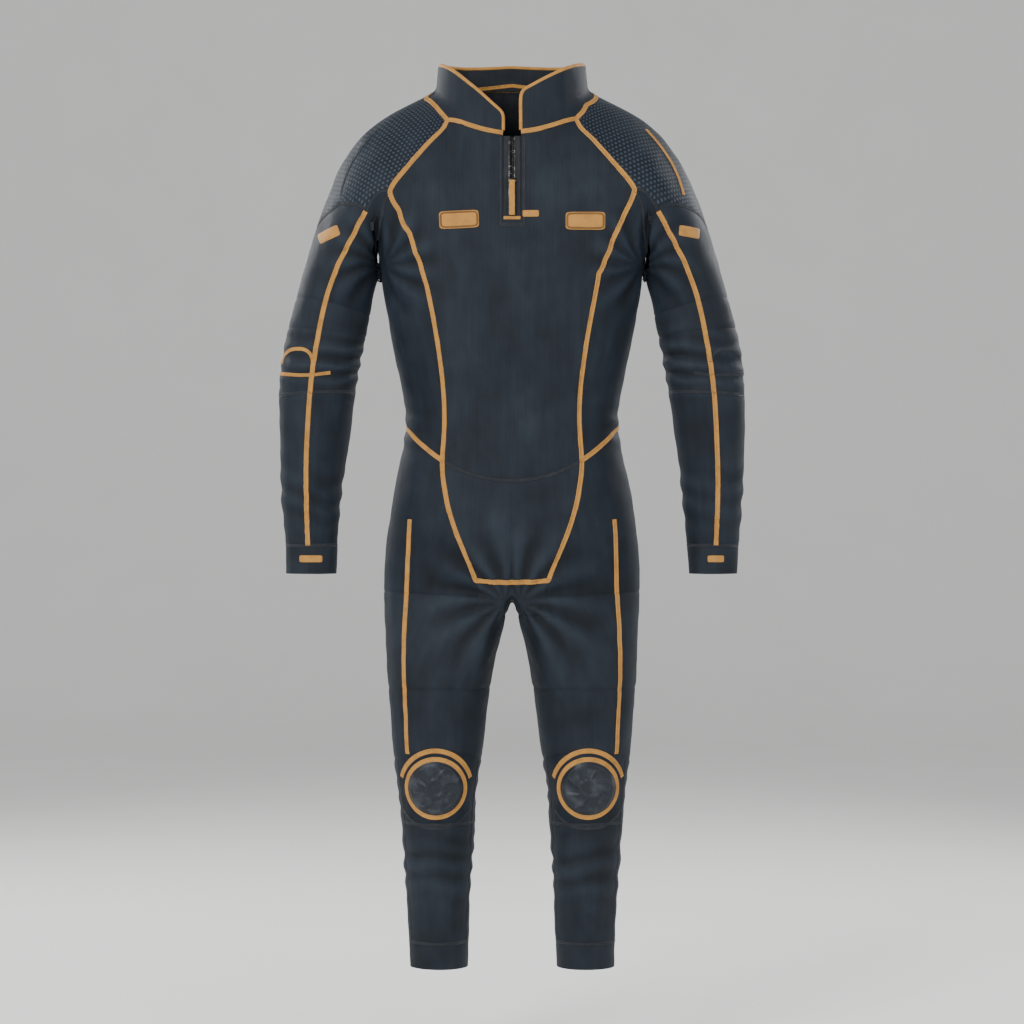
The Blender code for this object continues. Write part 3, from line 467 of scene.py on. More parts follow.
def soft_noise(points, size, seed, octaves=2):
    """Smooth wandering values near -1..1: waves in fixed odd directions, from a seeded draw."""
    rng = np.random.default_rng(seed)
    total = np.zeros(len(points))
    strength = 1.0
    for _ in range(octaves):
        for _ in range(6):
            direction = rng.normal(size=3)
            direction /= np.linalg.norm(direction)
            bent = points @ direction * (2 * math.pi / size) * rng.uniform(0.7, 1.3)
            bent += 0.9 * np.sin(points @ rng.normal(size=3) * 4 / size + rng.uniform(0, 6))
            total += strength * np.sin(bent + rng.uniform(0, 6)) / 3.4
        size *= 0.5
        strength *= 0.5
    return total


def bump(x, width):
    """1 at 0, falling smoothly to 0 at width on either side."""
    t = np.clip(np.abs(x) / width, 0, 1)
    return 1 - t * t * (3 - 2 * t)


# %% Move the skin into folds
points, normals = skin_arrays(skin)
x, y, z = points.T
side = np.abs(x)
limb = np.zeros(len(points), int)
poly_material = np.empty(len(skin.data.polygons), int)
skin.data.polygons.foreach_get("material_index", poly_material)
for i, name in enumerate(tags):
    kind = 1 if any(w in name for w in ARM_WORDS) and "shoulder" not in name else 2 if any(
        w in name for w in LEG_WORDS) else 0
    if kind:
        chosen = [v for p in np.where(poly_material == i)[0] for v in skin.data.polygons[p].vertices]
        limb[np.unique(chosen)] = kind

wander = soft_noise(points, 0.30, 3) * 0.35
move = 0.0011 * soft_noise(points, 0.11, 7, 3)


def buckles(height, middle, spread, pitch, lean, depth, where):
    """A few round rolls across a limb, around one height."""
    phase = (height - middle) / pitch + lean * (side - 0.2) + wander
    roll = np.sin(2 * math.pi * phase)
    return depth * (roll * 0.5 + 0.35 * roll * np.abs(roll)) * bump(height - middle, spread) * where


arm, leg, trunk = limb == 1, limb == 2, limb == 0
front = np.clip(-normals[:, 1] * 1.4 + 0.35, 0, 1)
back = np.clip(normals[:, 1] * 1.4 + 0.35, 0, 1)
inner_arm = np.clip(-(normals[:, 0] * np.sign(x)) * 0.8 + 0.6, 0, 1)
move += buckles(z, -0.485, 0.075, 0.026, 2.5, 0.0038, arm * (0.35 + 0.65 * front * inner_arm))
move += buckles(z, -0.700, 0.090, 0.034, -2.0, 0.0016, arm * 1.0)
move += buckles(z, -1.160, 0.080, 0.028, 1.0, 0.0036, leg * back)
move += buckles(z, -1.285, 0.085, 0.036, -3.0, 0.0020, leg * 1.0)
move += buckles(z, -0.585, 0.060, 0.030, 1.5, 0.0018, trunk * bump(side - 0.18, 0.07))

# pulls that fan out from a point
for centre, reach, count, depth, owner in (
        ((0.205, -0.330), 0.12, 11, 0.0024, trunk | arm), ((0.012, -0.865), 0.17, 12, 0.0028, trunk | leg)):
    dx, dz = side - centre[0], z - centre[1]
    far = np.hypot(dx, dz)
    turn = np.arctan2(dz, dx)
    rays = np.sin(turn * count + 2.0 * wander + 3 * far / reach)
    move += depth * rays * bump(far - reach * 0.42, reach * 0.55) * owner * (0.4 + 0.6 * front)

# %% Sink the borders a little and keep the rims and zip still
edge_points = set()
bm = bmesh.new()
bm.from_mesh(skin.data)
bm.verts.ensure_lookup_table()
rim_points = {v.index for v in bm.verts if v.is_boundary}
rim_edges = [tuple(v.index for v in e.verts) for e in bm.edges if e.is_boundary]
for e in bm.edges:
    if len(e.link_faces) == 2 and e.link_faces[0].material_index != e.link_faces[1].material_index:
        edge_points.update(v.index for v in e.verts)
bm.free()
still = np.ones(len(points))
still *= 1 - 0.9 * bump(side, 0.045) * (y < 0) * (z > -0.30)
still *= 1 - 0.8 * np.clip((z + 0.13) / 0.05, 0, 1)
move *= still
SEAM_DIP = 0.0009
move[list(edge_points)] -= SEAM_DIP
points += normals * move[:, None]
skin.data.vertices.foreach_set("co", points.ravel())
skin.data.update()
# painted shade: each point keeps how far it was moved, so the cloth is painted darker in the fold hollows and
# along the sunken seams, and painted lighter on the fold ridges as a painted highlight
fold_tone = skin.data.attributes.new("fold_tone", "FLOAT", "POINT")
fold_tone.data.foreach_set("value", np.clip(0.5 + move / 0.005, 0, 1).astype(np.float32))
rim_spot = {i: Vector(points[i]) for i in rim_points}
print("folds move the skin by", round(float(move.min() * 1000), 1), "to",
      round(float(move.max() * 1000), 1), "mm")

# %% [markdown]
# ## Seams
# The real seams are flatlock: two rails of thread with a zigzag between them, in amber where
# the suit shows off its cut and in dark thread elsewhere. The borders between panels are
# chained into paths. A curve can't hug a folded skin, so each path is swept in code with a
# low, closed profile whose height steps up and down like the rungs of the stitching.

# %% Which thread each border gets
AMBER_PAIRS = [
    ("shoulder_panel", "front_chest_panel"), ("shoulder_panel", "side_panel"),
    ("shoulder_panel", "upper_back_panel"), ("side_panel", "front_chest_panel"),
    ("side_panel", "upper_back_panel"), ("side_panel", "lumbar_panel"),
    ("side_panel", "hip_panel"), ("hip_panel", "belly_gusset"), ("hip_panel", "seat_panel"),
    ("belly_gusset", "crotch_panel"), ("upper_sleeve_outer", "upper_sleeve_inner"),
    ("forearm_outer", "forearm_inner"), ("thigh_main", "thigh_side"),
    ("collar_front", "front_chest_panel"), ("collar_front", "shoulder_panel"),
    ("collar_back", "shoulder_panel"), ("collar_back", "upper_back_panel"),
]

# glued edge to edge with no thread on the outside
GLUED_PAIRS = [
    ("hip_panel", "upper_thigh"), ("crotch_panel", "upper_thigh"), ("crotch_panel", "hip_panel"),
    ("upper_thigh", "thigh_main"), ("upper_thigh", "thigh_side"), ("upper_sleeve", "upper_arm_band"),
    ("upper_arm_band", "elbow_panel"), ("thigh_main", "knee"), ("thigh_side", "knee"),
]


def is_pair(a, b, pair):
    return (pair[0] in a and pair[1] in b) or (pair[0] in b and pair[1] in a)


def thread_for(a, b, middle, drawn, upright, facing):
    """'amber', 'dark' or None for a border edge between panels a and b."""
    if drawn:
        if facing > 0.2 or not upright:
            return None
        if any(w in a for w in ("upper_arm_band", "elbow_panel")):
            return "amber"
        if any(w in a for w in ("upper_thigh", "hip_panel")) and abs(middle.x) > 0.13:
            return "amber"
        return None
    if any(is_pair(a, b, pair) for pair in GLUED_PAIRS):
        return None
    if any(is_pair(a, b, pair) for pair in AMBER_PAIRS):
        if any(w in a for w in ("sleeve", "forearm", "thigh")) and facing > 0.2:
            return "dark"
        return "amber"
    return "dark"


def border_zone(a, b):
    """A border next to a bending panel bends as that panel does."""
    zones = [zone_of(a), zone_of(b)]
    return next((zone for zone in zones if zone[0] == "bend"), zones[0])


# %% Chain the borders into paths
bm = bmesh.new()
bm.from_mesh(skin.data)
bm.normal_update()
for v in list(bm.verts):     # the outer thigh seam runs on up over the hip
    if len(v.link_edges) != 4 or abs(v.co.x) < 0.13 or v.co.y > 0.0 or not -0.90 < v.co.z < -0.83:
        continue
    names = [{tags[f.material_index] for f in e.link_faces} for e in v.link_edges]
    below = [e for e, n in zip(v.link_edges, names) if e.seam and len(n) == 1 and "upper_thigh" in min(n)]
    if len(below) != 1 or sum(e.seam for e in v.link_edges) != 3:
        continue
    spot, edge = v, next(e for e in v.link_edges if not e.seam)
    while edge is not None and spot.co.z < -0.738:
        edge.seam = True
        spot = edge.other_vert(spot)
        faces = set(edge.link_faces)
        edge = next((e for e in spot.link_edges if not faces & set(e.link_faces)), None)
groups = {}
for e in bm.edges:
    if not e.seam or len(e.link_faces) != 2:
        continue
    a, b = (tags[f.material_index] for f in e.link_faces)
    run = e.verts[0].co - e.verts[1].co
    thread = thread_for(a, b, (e.verts[0].co + e.verts[1].co) / 2, a == b, abs(run.z) > abs(run.x),
                        sum(f.normal.y for f in e.link_faces) / 2)
    if thread:
        groups.setdefault((thread, border_zone(a, b)), []).append(e)


def chain(edges):
    """Splits a set of edges into runs of points, broken where more than two edges meet."""
    at = {}
    for e in edges:
        for v in e.verts:
            at.setdefault(v, []).append(e)
    left, runs = set(edges), []

    def walk(v, e):
        run = [v]
        while True:
            left.discard(e)
            v = e.other_vert(v)
            run.append(v)
            onward = [o for o in at[v] if o in left]
            if len(at[v]) != 2 or not onward:
                return run
            e = onward[0]

    for v in at:
        if len(at[v]) != 2:
            for e in at[v]:
                if e in left:
                    runs.append(walk(v, e))
    while left:
        e = min(left, key=lambda edge: edge.index)
        runs.append(walk(e.verts[0], e))
    return runs


paths = {}
for key, edges in groups.items():
    edges.sort(key=lambda e: e.index)
    paths[key] = [[v.co.copy() for v in run] for run in chain(edges)]
bm.free()
total = {t: sum((a - b).length for (thread, _), runs in paths.items() if thread == t
                for p in runs for a, b in zip(p, p[1:])) for t in ("amber", "dark")}
print("seam length in metres", {t: round(v, 2) for t, v in total.items()})

# %% Sweep a seam over the skin
skin_tree = BVHTree.FromPolygons([v.co for v in skin.data.vertices],
                                 [tuple(p.vertices) for p in skin.data.polygons])
AMBER_SEAM = dict(half=0.0040, height=0.0013, pitch=0.0042)
DARK_SEAM = dict(half=0.0026, height=0.0008, pitch=0.0036)
PROFILE = [(-1.0, 0.0), (-0.86, 0.85), (-0.62, 1.0), (-0.40, 0.55), (0.0, 0.62), (0.40, 0.55),
           (0.62, 1.0), (0.86, 0.85), (1.0, 0.0)]


def resample(path, step):
    """Points evenly spaced along a path, with the path's own ends kept."""
    path = np.array([tuple(p) for p in path])
    run = np.r_[0, np.cumsum(np.linalg.norm(np.diff(path, axis=0), axis=1))]
    count = max(int(run[-1] / step), 2)
    at = np.linspace(0, run[-1], count + 1)
    return np.c_[[np.interp(at, run, path[:, k]) for k in range(3)]].T, at


def calm(values, passes, closed):
    """Averages each value with its neighbours; open ends stay."""
    for _ in range(passes):
        if closed:
            values = (np.roll(values, 1, 0) + values * 2 + np.roll(values, -1, 0)) / 4
        else:
            inner = (values[:-2] + values[1:-1] * 2 + values[2:]) / 4
            values = np.r_[values[:1], inner, values[-1:]]
    return values


def sweep_seam(path, tree, half, height, pitch, closed=None, extend=0.0):
    """Points and faces of one closed, stitched strip that lies on the skin along a path."""
    if closed is None:
        closed = (Vector(path[0]) - Vector(path[-1])).length < 1e-6
    line, at = resample(path, pitch / 4)
    if closed:
        line, at = line[:-1], at[:-1]
    line = calm(line, 6, closed)
    ahead = np.roll(line, -1, 0) - np.roll(line, 1, 0)
    if not closed:
        ahead[0], ahead[-1] = line[1] - line[0], line[-1] - line[-2]
    up = np.array([tuple(tree.find_nearest(Vector(p))[1]) for p in line])
    up = calm(up, 6, closed)
    up /= np.linalg.norm(up, axis=1)[:, None]
    ahead /= np.linalg.norm(ahead, axis=1)[:, None] + 1e-12
    across = np.cross(ahead, up)
    across /= np.linalg.norm(across, axis=1)[:, None] + 1e-12
    spots, faces = [], []
    ring = len(PROFILE) + 2
    for p, u, w, s in zip(line, up, across, at):
        for k, (share, lift) in enumerate(PROFILE):
            rung = 0.0
            if 1 < k < len(PROFILE) - 2:
                rung = 0.42 * math.sin(2 * math.pi * (s / pitch + 0.45 * share))
            rail = 0.10 * math.sin(4 * math.pi * s / pitch) if k in (1, 2, 6, 7) else 0.0
            spot = Vector(p + w * share * half)
            near = tree.find_nearest(spot)[0]
            spots.append(near + Vector(u) * ((lift + rung + rail) * height))
        for share in (0.8, -0.8):
            spots.append(Vector(p + w * share * half - u * 0.0012))
    count = len(line)
    for i in range(count if closed else count - 1):
        a, b = i * ring, ((i + 1) % count) * ring
        for k in range(ring):
            m = (k + 1) % ring
            faces.append((a + k, a + m, b + m, b + k))
    if not closed:
        faces.append(tuple(range(ring))[::-1])
        faces.append(tuple(range((count - 1) * ring, count * ring)))
    return spots, faces


def seam_piece(name, runs, style, tree=None):
    spots, faces = [], []
    for run in runs:
        length = sum((Vector(a) - Vector(b)).length for a, b in zip(run, run[1:]))
        if length < 0.008:
            continue
        more, these = sweep_seam(run, tree or skin_tree, **style)
        faces += [tuple(i + len(spots) for i in f) for f in these]
        spots += more
    piece = new_mesh(name, spots, faces)
    edit(piece)
    bpy.ops.mesh.normals_make_consistent(inside=False)
    done()
    smooth(piece, 50)
    return piece


seams = []
for (thread, zone), runs in sorted(paths.items(), key=str):
    where = zone[1] if zone[0] == "ride" else f"{zone[1]}_{zone[2]}"
    style = AMBER_SEAM if thread == "amber" else DARK_SEAM
    piece = seam_piece(f"{thread}_seam_{where}", runs, style)
    seams.append((piece, thread, zone))
print(len(seams), "seam pieces,", sum(len(p.data.polygons) for p, _, _ in seams), "faces")

# %% [markdown]
# ## Cut the skin back into its panels
# The skin now falls apart into one piece for each panel again, along borders that match point
# for point. Solidify gives each sheet the neoprene's four millimetres, inwards, so that the
# outside stays where the folds put it, and its inner side takes the lining.

# %% Split and thicken
only(skin)
bpy.ops.mesh.separate(type="MATERIAL")
panels = {}
for o in list(suit.objects):
    if o.type == "MESH" and o.data.materials and o.data.materials[0].name.startswith("tag_"):
        name = o.data.materials[0].name[4:]
        panels[name] = o
for name, o in panels.items():
    o.name = "neoprene_" + name
    o.data.name = o.name
    if "crease_vert" in o.data.attributes:
        o.data.attributes.remove(o.data.attributes["crease_vert"])

# %% [markdown]
# ## Shared shader effects
# Two effects are used by several finishes, so each is a node group that puts out colours,
# roughness and heights only: the knitted jersey that faces and lines the neoprene, and the
# twist of a thread. The shader itself stays in each material.

# %% Node helpers
def tree_link(tree, a, b):
    tree.links.new(a, b)


def add_node(tree, kind, spot=(0, 0), **values):
    node = tree.nodes.new(kind)
    node.location = spot
    for key, value in values.items():
        if key.startswith("in_"):
            node.inputs[int(key[3:])].default_value = value
        else:
            setattr(node, key, value)
    return node


def wire(tree, source, target, socket):
    """Connects source (a socket or a number) to an input socket of target."""
    if isinstance(source, (int, float)):
        target.inputs[socket].default_value = source
    else:
        tree.links.new(source, target.inputs[socket])


def maths(tree, operation, a, b=0.0, c=None):
    node = add_node(tree, "ShaderNodeMath", operation=operation)
    wire(tree, a, node, 0)
    wire(tree, b, node, 1)
    if c is not None:
        wire(tree, c, node, 2)
    return node.outputs[0]


def mix_colour(tree, share, a, b, blend="MIX"):
    node = add_node(tree, "ShaderNodeMix", data_type="RGBA", blend_type=blend)
    wire(tree, share, node, 0)
    for socket, value in ((6, a), (7, b)):
        if isinstance(value, tuple):
            node.inputs[socket].default_value = value
        else:
            tree.links.new(value, node.inputs[socket])
    return node.outputs[2]


def new_group(name, inputs, outputs):
    """Empty shader group with named sockets; gives back the group and its in and out nodes."""
    group = bpy.data.node_groups.new(name, "ShaderNodeTree")
    kinds = {"f": "NodeSocketFloat", "c": "NodeSocketColor", "v": "NodeSocketVector"}
    for label, kind, value in inputs:
        socket = group.interface.new_socket(name=label, in_out="INPUT", socket_type=kinds[kind])
        if value is not None:
            socket.default_value = value
    for label, kind in outputs:
        group.interface.new_socket(name=label, in_out="OUTPUT", socket_type=kinds[kind])
    return group, add_node(group, "NodeGroupInput", (-900, 0)), add_node(group, "NodeGroupOutput", (900, 0))


# %% Knitted jersey
jersey, gin, gout = new_group(
    "knitted_jersey",
    [("Place", "v", None), ("Cloth", "c", (0.02, 0.026, 0.04, 1)), ("Faded", "c", (0.05, 0.06, 0.08, 1)),
     ("Column", "f", 0.0021), ("Fading", "f", 0.5)],
    [("Color", "c"), ("Height", "f"), ("Roughness", "f")])
split = add_node(jersey, "ShaderNodeSeparateXYZ")
wire(jersey, gin.outputs["Place"], split, 0)
u, v = split.outputs[0], split.outputs[1]
turns = maths(jersey, "DIVIDE", math.pi, gin.outputs["Column"])
column = maths(jersey, "ABSOLUTE", maths(jersey, "SINE", maths(jersey, "MULTIPLY", u, turns)))
lean = maths(jersey, "MULTIPLY", maths(jersey, "ABSOLUTE", maths(
    jersey, "SINE", maths(jersey, "MULTIPLY", u, turns))), 1.6)
course = maths(jersey, "SINE", maths(jersey, "ADD", maths(jersey, "MULTIPLY", v, maths(
    jersey, "MULTIPLY", turns, 2.6)), lean))
knit = maths(jersey, "MULTIPLY_ADD", course, 0.22, column)
mottle = add_node(jersey, "ShaderNodeTexNoise", noise_dimensions="3D", in_2=26.0, in_3=4.0, in_4=0.6)
wire(jersey, gin.outputs["Place"], mottle, 0)
stretch = add_node(jersey, "ShaderNodeMapping", vector_type="POINT")
stretch.inputs[3].default_value = (85.0, 9.0, 9.0)
wire(jersey, gin.outputs["Place"], stretch, 0)
streak = add_node(jersey, "ShaderNodeTexNoise", noise_dimensions="3D", in_2=1.0, in_3=3.0, in_4=0.55)
wire(jersey, stretch.outputs[0], streak, 0)
faded = add_node(jersey, "ShaderNodeClamp", in_0=0.0)
wire(jersey, maths(jersey, "MULTIPLY", maths(jersey, "MULTIPLY_ADD", streak.outputs[0], 0.9, maths(
    jersey, "MULTIPLY_ADD", mottle.outputs[0], 1.1, -0.72)), gin.outputs["Fading"]), faded, 0)
colour = mix_colour(jersey, faded.outputs[0], gin.outputs["Cloth"], gin.outputs["Faded"])
shade = maths(jersey, "MULTIPLY_ADD", knit, 0.22, 0.84)
colour = mix_colour(jersey, 1.0, colour, shade, "MULTIPLY")
tree_link(jersey, colour, gout.inputs["Color"])
tree_link(jersey, knit, gout.inputs["Height"])
tree_link(jersey, maths(jersey, "MULTIPLY_ADD", mottle.outputs[0], 0.22, 0.52), gout.inputs["Roughness"])

# %% Twisted thread
twist, gin, gout = new_group(
    "twisted_thread",
    [("Place", "v", None), ("Thread", "c", (0.5, 0.3, 0.1, 1)), ("Dirt", "c", (0.2, 0.1, 0.04, 1)),
     ("Ply", "f", 0.0011)],
    [("Color", "c"), ("Height", "f")])
split = add_node(twist, "ShaderNodeSeparateXYZ")
wire(twist, gin.outputs["Place"], split, 0)
total_place = maths(twist, "ADD", maths(twist, "ADD", split.outputs[0], split.outputs[1]), split.outputs[2])
ply = maths(twist, "SINE", maths(twist, "MULTIPLY", total_place, maths(
    twist, "DIVIDE", 2 * math.pi, gin.outputs["Ply"])))
grime = add_node(twist, "ShaderNodeTexNoise", noise_dimensions="3D", in_2=60.0, in_3=4.0, in_4=0.65)
wire(twist, gin.outputs["Place"], grime, 0)
dirty = add_node(twist, "ShaderNodeMapRange", in_1=0.45, in_2=0.75)
wire(twist, grime.outputs[0], dirty, 0)
colour = mix_colour(twist, maths(twist, "MULTIPLY", dirty.outputs[0], 0.55), gin.outputs["Thread"],
                    gin.outputs["Dirt"])
# painted shade: the thread is darkened in the grooves between its plies, where the ply height is low
colour = mix_colour(twist, 1.0, colour, maths(twist, "MULTIPLY_ADD", ply, 0.10, 0.93), "MULTIPLY")
tree_link(twist, colour, gout.inputs["Color"])
tree_link(twist, ply, gout.inputs["Height"])

# %% [markdown]
# ## Finishes
# Every finish is a Principled shader fed by those groups. Cloth reads the panel's own flat
# pattern, so the knit runs down each panel as it was cut. Sheen, which gives the jersey its
# soft edge, is set on the shader itself.

# %% Material builder
def finish_named(name, rough=0.6, sheen=0.0, sheen_tint=(1, 1, 1, 1), metallic=0.0, coat=0.0,
                 specular=0.5):
    material = bpy.data.materials.new(name)
    material.use_nodes = True
    tree = material.node_tree
    shader = tree.nodes["Principled BSDF"]
    shader.inputs["Roughness"].default_value = rough
    shader.inputs["Sheen Weight"].default_value = sheen
    shader.inputs["Sheen Roughness"].default_value = 0.45
    shader.inputs["Sheen Tint"].default_value = sheen_tint
    shader.inputs["Metallic"].default_value = metallic
    shader.inputs["Coat Weight"].default_value = coat
    shader.inputs["Specular IOR Level"].default_value = specular
    return material, tree, shader


def add_bump(tree, shader, height, distance, strength=1.0):
    node = add_node(tree, "ShaderNodeBump", (-300, -300))
    node.inputs["Strength"].default_value = strength
    node.inputs["Distance"].default_value = distance
    tree_link(tree, height, node.inputs["Height"])
    tree_link(tree, node.outputs[0], shader.inputs["Normal"])


def place_a_group(tree, group, coordinates, **values):
    node = add_node(tree, "ShaderNodeGroup", (-700, 0))
    node.node_tree = group
    tree_link(tree, coordinates, node.inputs["Place"])
    for label, value in values.items():
        node.inputs[label].default_value = value
    return node


def coordinates(tree, kind):
    return add_node(tree, "ShaderNodeTexCoord", (-1100, 0)).outputs[kind]


# %% Neoprene finishes
def grid_of_dots(tree, place, pitch, size):
    """1 inside round dots set in a staggered grid over the flat pattern."""
    split = add_node(tree, "ShaderNodeSeparateXYZ")
    wire(tree, place, split, 0)
    u = maths(tree, "DIVIDE", split.outputs[0], pitch)
    v = maths(tree, "DIVIDE", split.outputs[1], pitch)
    row = maths(tree, "MULTIPLY", maths(tree, "FLOORED_MODULO", maths(tree, "FLOOR", v), 2.0), 0.5)
    du = maths(tree, "SUBTRACT", maths(tree, "FRACT", maths(tree, "ADD", u, row)), 0.5)
    dv = maths(tree, "SUBTRACT", maths(tree, "FRACT", v), 0.5)
    far = maths(tree, "SQRT", maths(tree, "ADD", maths(tree, "MULTIPLY", du, du), maths(
        tree, "MULTIPLY", dv, dv)))
    dot = add_node(tree, "ShaderNodeMapRange", interpolation_type="SMOOTHSTEP", in_1=size + 0.09,
                   in_2=size - 0.05)
    wire(tree, far, dot, 0)
    return dot.outputs[0]


def neoprene(name, cloth, faded, fading, dots=None):
    material, tree, shader = finish_named(name, rough=0.62, sheen=0.02, sheen_tint=(0.62, 0.72, 0.85, 1),
                                          specular=0.16)
    uv = coordinates(tree, "UV")
    knit = place_a_group(tree, jersey, uv, Cloth=cloth, Faded=faded, Fading=fading)
    colour, height = knit.outputs["Color"], knit.outputs["Height"]
    # painted shade: the stored fold depth darkens the cloth in fold hollows and seam dips and paints a
    # highlight on the fold ridges
    fold = add_node(tree, "ShaderNodeAttribute", attribute_name="fold_tone", attribute_type="GEOMETRY")
    tone = maths(tree, "MULTIPLY_ADD", fold.outputs["Fac"], 0.9, 0.55)
    colour = mix_colour(tree, 1.0, colour, tone, "MULTIPLY")
    if dots:
        pitch, size, paint, lift = dots
        dot = grid_of_dots(tree, uv, pitch, size)
        colour = mix_colour(tree, dot, colour, paint)
        height = maths(tree, "MULTIPLY_ADD", dot, lift, maths(tree, "MULTIPLY", height, 0.25))
        add_bump(tree, shader, height, 0.0006, 0.9)
    else:
        add_bump(tree, shader, height, 0.00025, 0.8)
    tree_link(tree, colour, shader.inputs["Base Color"])
    tree_link(tree, knit.outputs["Roughness"], shader.inputs["Roughness"])
    return material


NAVY = (0.0085, 0.0120, 0.0175, 1)
NAVY_FADED = (0.019, 0.0255, 0.035, 1)
SIDE = (0.0055, 0.0085, 0.0135, 1)
SIDE_FADED = (0.0145, 0.0215, 0.0325, 1)
AMBER = (0.47, 0.225, 0.045, 1)
AMBER_DARK = (0.20, 0.090, 0.022, 1)
finishes = {
    "neoprene": neoprene("navy_neoprene", NAVY, NAVY_FADED, 0.75),
    "neoprene_side": neoprene("dark_neoprene", SIDE, SIDE_FADED, 0.8),
    "grip_print": neoprene("grip_print", SIDE, NAVY_FADED, 0.8,
                           (0.0072, 0.26, (0.036, 0.048, 0.066, 1), 1.0)),
    "knee_print": neoprene("knee_neoprene", SIDE, SIDE_FADED, 0.8),
}


def cloth_lining():
    material, tree, shader = finish_named("plush_lining", rough=0.85, sheen=0.05, specular=0.15)
    knit = place_a_group(tree, jersey, coordinates(tree, "UV"), Cloth=(0.012, 0.014, 0.018, 1),
                         Faded=(0.03, 0.033, 0.038, 1), Column=0.0032, Fading=0.8)
    tree_link(tree, knit.outputs["Color"], shader.inputs["Base Color"])
    add_bump(tree, shader, knit.outputs["Height"], 0.0004, 0.8)
    return material


def thread_finish(name, thread, dirt, rough):
    material, tree, shader = finish_named(name, rough=rough, sheen=0.05, specular=0.3)
    strand = place_a_group(tree, twist, coordinates(tree, "Object"), Thread=thread, Dirt=dirt)
    tree_link(tree, strand.outputs["Color"], shader.inputs["Base Color"])
    add_bump(tree, shader, strand.outputs["Height"], 0.00015, 0.6)
    return material


lining = cloth_lining()
amber_thread = thread_finish("amber_thread", AMBER, AMBER_DARK, 0.55)
dark_thread = thread_finish("dark_thread", (0.010, 0.013, 0.018, 1), (0.03, 0.035, 0.045, 1), 0.6)
print(len(bpy.data.materials), "materials")


for name, o in panels.items():
    o.data.materials.clear()
    o.data.materials.append(finishes[slot_of[name]])
    o.data.materials.append(lining)
    o.data.polygons.foreach_set("material_index", [0] * len(o.data.polygons))
    apply_modifier(o, "SOLIDIFY", thickness=SHEET, offset=-1.0, use_even_offset=False,
                   material_offset=1, material_offset_rim=0)
    smooth(o, 50)
    attach(o, zone_of(name))
    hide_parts(name)
    low, high = (Vector(c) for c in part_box(name))
for piece, thread, zone in seams:
    piece.data.materials.append(amber_thread if thread == "amber" else dark_thread)
    attach(piece, zone)
print("panels thick:", SHEET)

# %% [markdown]
# ## Trim
# The small pieces are what give the suit its finish: a bound collar edge, a toothed zip with
# its slider and webbing pull, woven patches, a moulded knee pad inside amber rings, and short
# amber tacks at the shoulder, elbow and cuff. Patches and pads are laid ring by ring onto the
# skin. The zip's parts start from bevelled blocks, except the webbing pull, whose side view
# is drawn point by point.

# %% Trim finishes
def woven_finish(name, yarn, shadow, pitch, rough=0.6):
    """Plain weave on the flat webbing, from two crossed sines."""
    material, tree, shader = finish_named(name, rough=rough, sheen=0.05, specular=0.3)
    place = coordinates(tree, "Object")
    split = add_node(tree, "ShaderNodeSeparateXYZ")
    wire(tree, place, split, 0)
    turns = 2 * math.pi / pitch
    warp = maths(tree, "SINE", maths(tree, "MULTIPLY", split.outputs[0], turns))
    weft = maths(tree, "SINE", maths(tree, "MULTIPLY", split.outputs[2], turns))
    weave = maths(tree, "MULTIPLY", warp, weft)
    grime = add_node(tree, "ShaderNodeTexNoise", in_2=70.0, in_3=4.0)
    tree_link(tree, place, grime.inputs[0])
    share = maths(tree, "MULTIPLY_ADD", grime.outputs[0], 1.2,
                  maths(tree, "MULTIPLY_ADD", weave, 0.22, -0.42))
    clamp = add_node(tree, "ShaderNodeClamp")
    wire(tree, share, clamp, 0)
    tree_link(tree, mix_colour(tree, clamp.outputs[0], yarn, shadow), shader.inputs["Base Color"])
    add_bump(tree, shader, weave, 0.0003, 0.9)
    return material


def metal_finish(name, paint, bare):
    """Dark enamelled metal, rubbed bright in patches."""
    material, tree, shader = finish_named(name, rough=0.35, metallic=1.0)
    place = coordinates(tree, "Object")
    rub = add_node(tree, "ShaderNodeTexNoise", in_2=180.0, in_3=5.0)
    tree_link(tree, place, rub.inputs[0])
    worn = add_node(tree, "ShaderNodeMapRange", in_1=0.50, in_2=0.68)
    wire(tree, rub.outputs[0], worn, 0)
    tree_link(tree, mix_colour(tree, worn.outputs[0], paint, bare), shader.inputs["Base Color"])
    tree_link(tree, maths(tree, "MULTIPLY_ADD", rub.outputs[0], 0.3, 0.22), shader.inputs["Roughness"])
    add_bump(tree, shader, rub.outputs[0], 0.0001, 0.5)
    return material


amber_webbing = woven_finish("amber_webbing", AMBER, AMBER_DARK, 0.0022)
zip_tape_cloth = woven_finish("zip_tape", (0.012, 0.014, 0.018, 1), (0.03, 0.033, 0.04, 1), 0.0014)
dark_metal = metal_finish("zip_metal", (0.035, 0.034, 0.034, 1), (0.17, 0.16, 0.14, 1))


def knee_rubber():
    material, tree, shader = finish_named("knee_rubber", rough=0.5, specular=0.3)
    place = coordinates(tree, "Object")
    cells = add_node(tree, "ShaderNodeTexVoronoi", in_2=330.0)
    tree_link(tree, place, cells.inputs[0])
    scuff = add_node(tree, "ShaderNodeTexNoise", in_2=48.0, in_3=6.0)
    tree_link(tree, place, scuff.inputs[0])
    worn = add_node(tree, "ShaderNodeMapRange", in_1=0.5, in_2=0.72)
    wire(tree, scuff.outputs[0], worn, 0)
    tree_link(tree, mix_colour(tree, worn.outputs[0], (0.009, 0.012, 0.018, 1), (0.035, 0.042, 0.052, 1)),
              shader.inputs["Base Color"])
    add_bump(tree, shader, cells.outputs[0], 0.0004, 0.7)
    return material


knee_print = knee_rubber()


# %% Lay a patch on the skin
def on_skin(x, z, tree=None, from_y=-1.0):
    """Point and normal where a straight line along Y first meets the skin."""
    hit = (tree or skin_tree).ray_cast(Vector((x, from_y, z)), Vector((0, 1, 0)))
    return hit[0], hit[1]


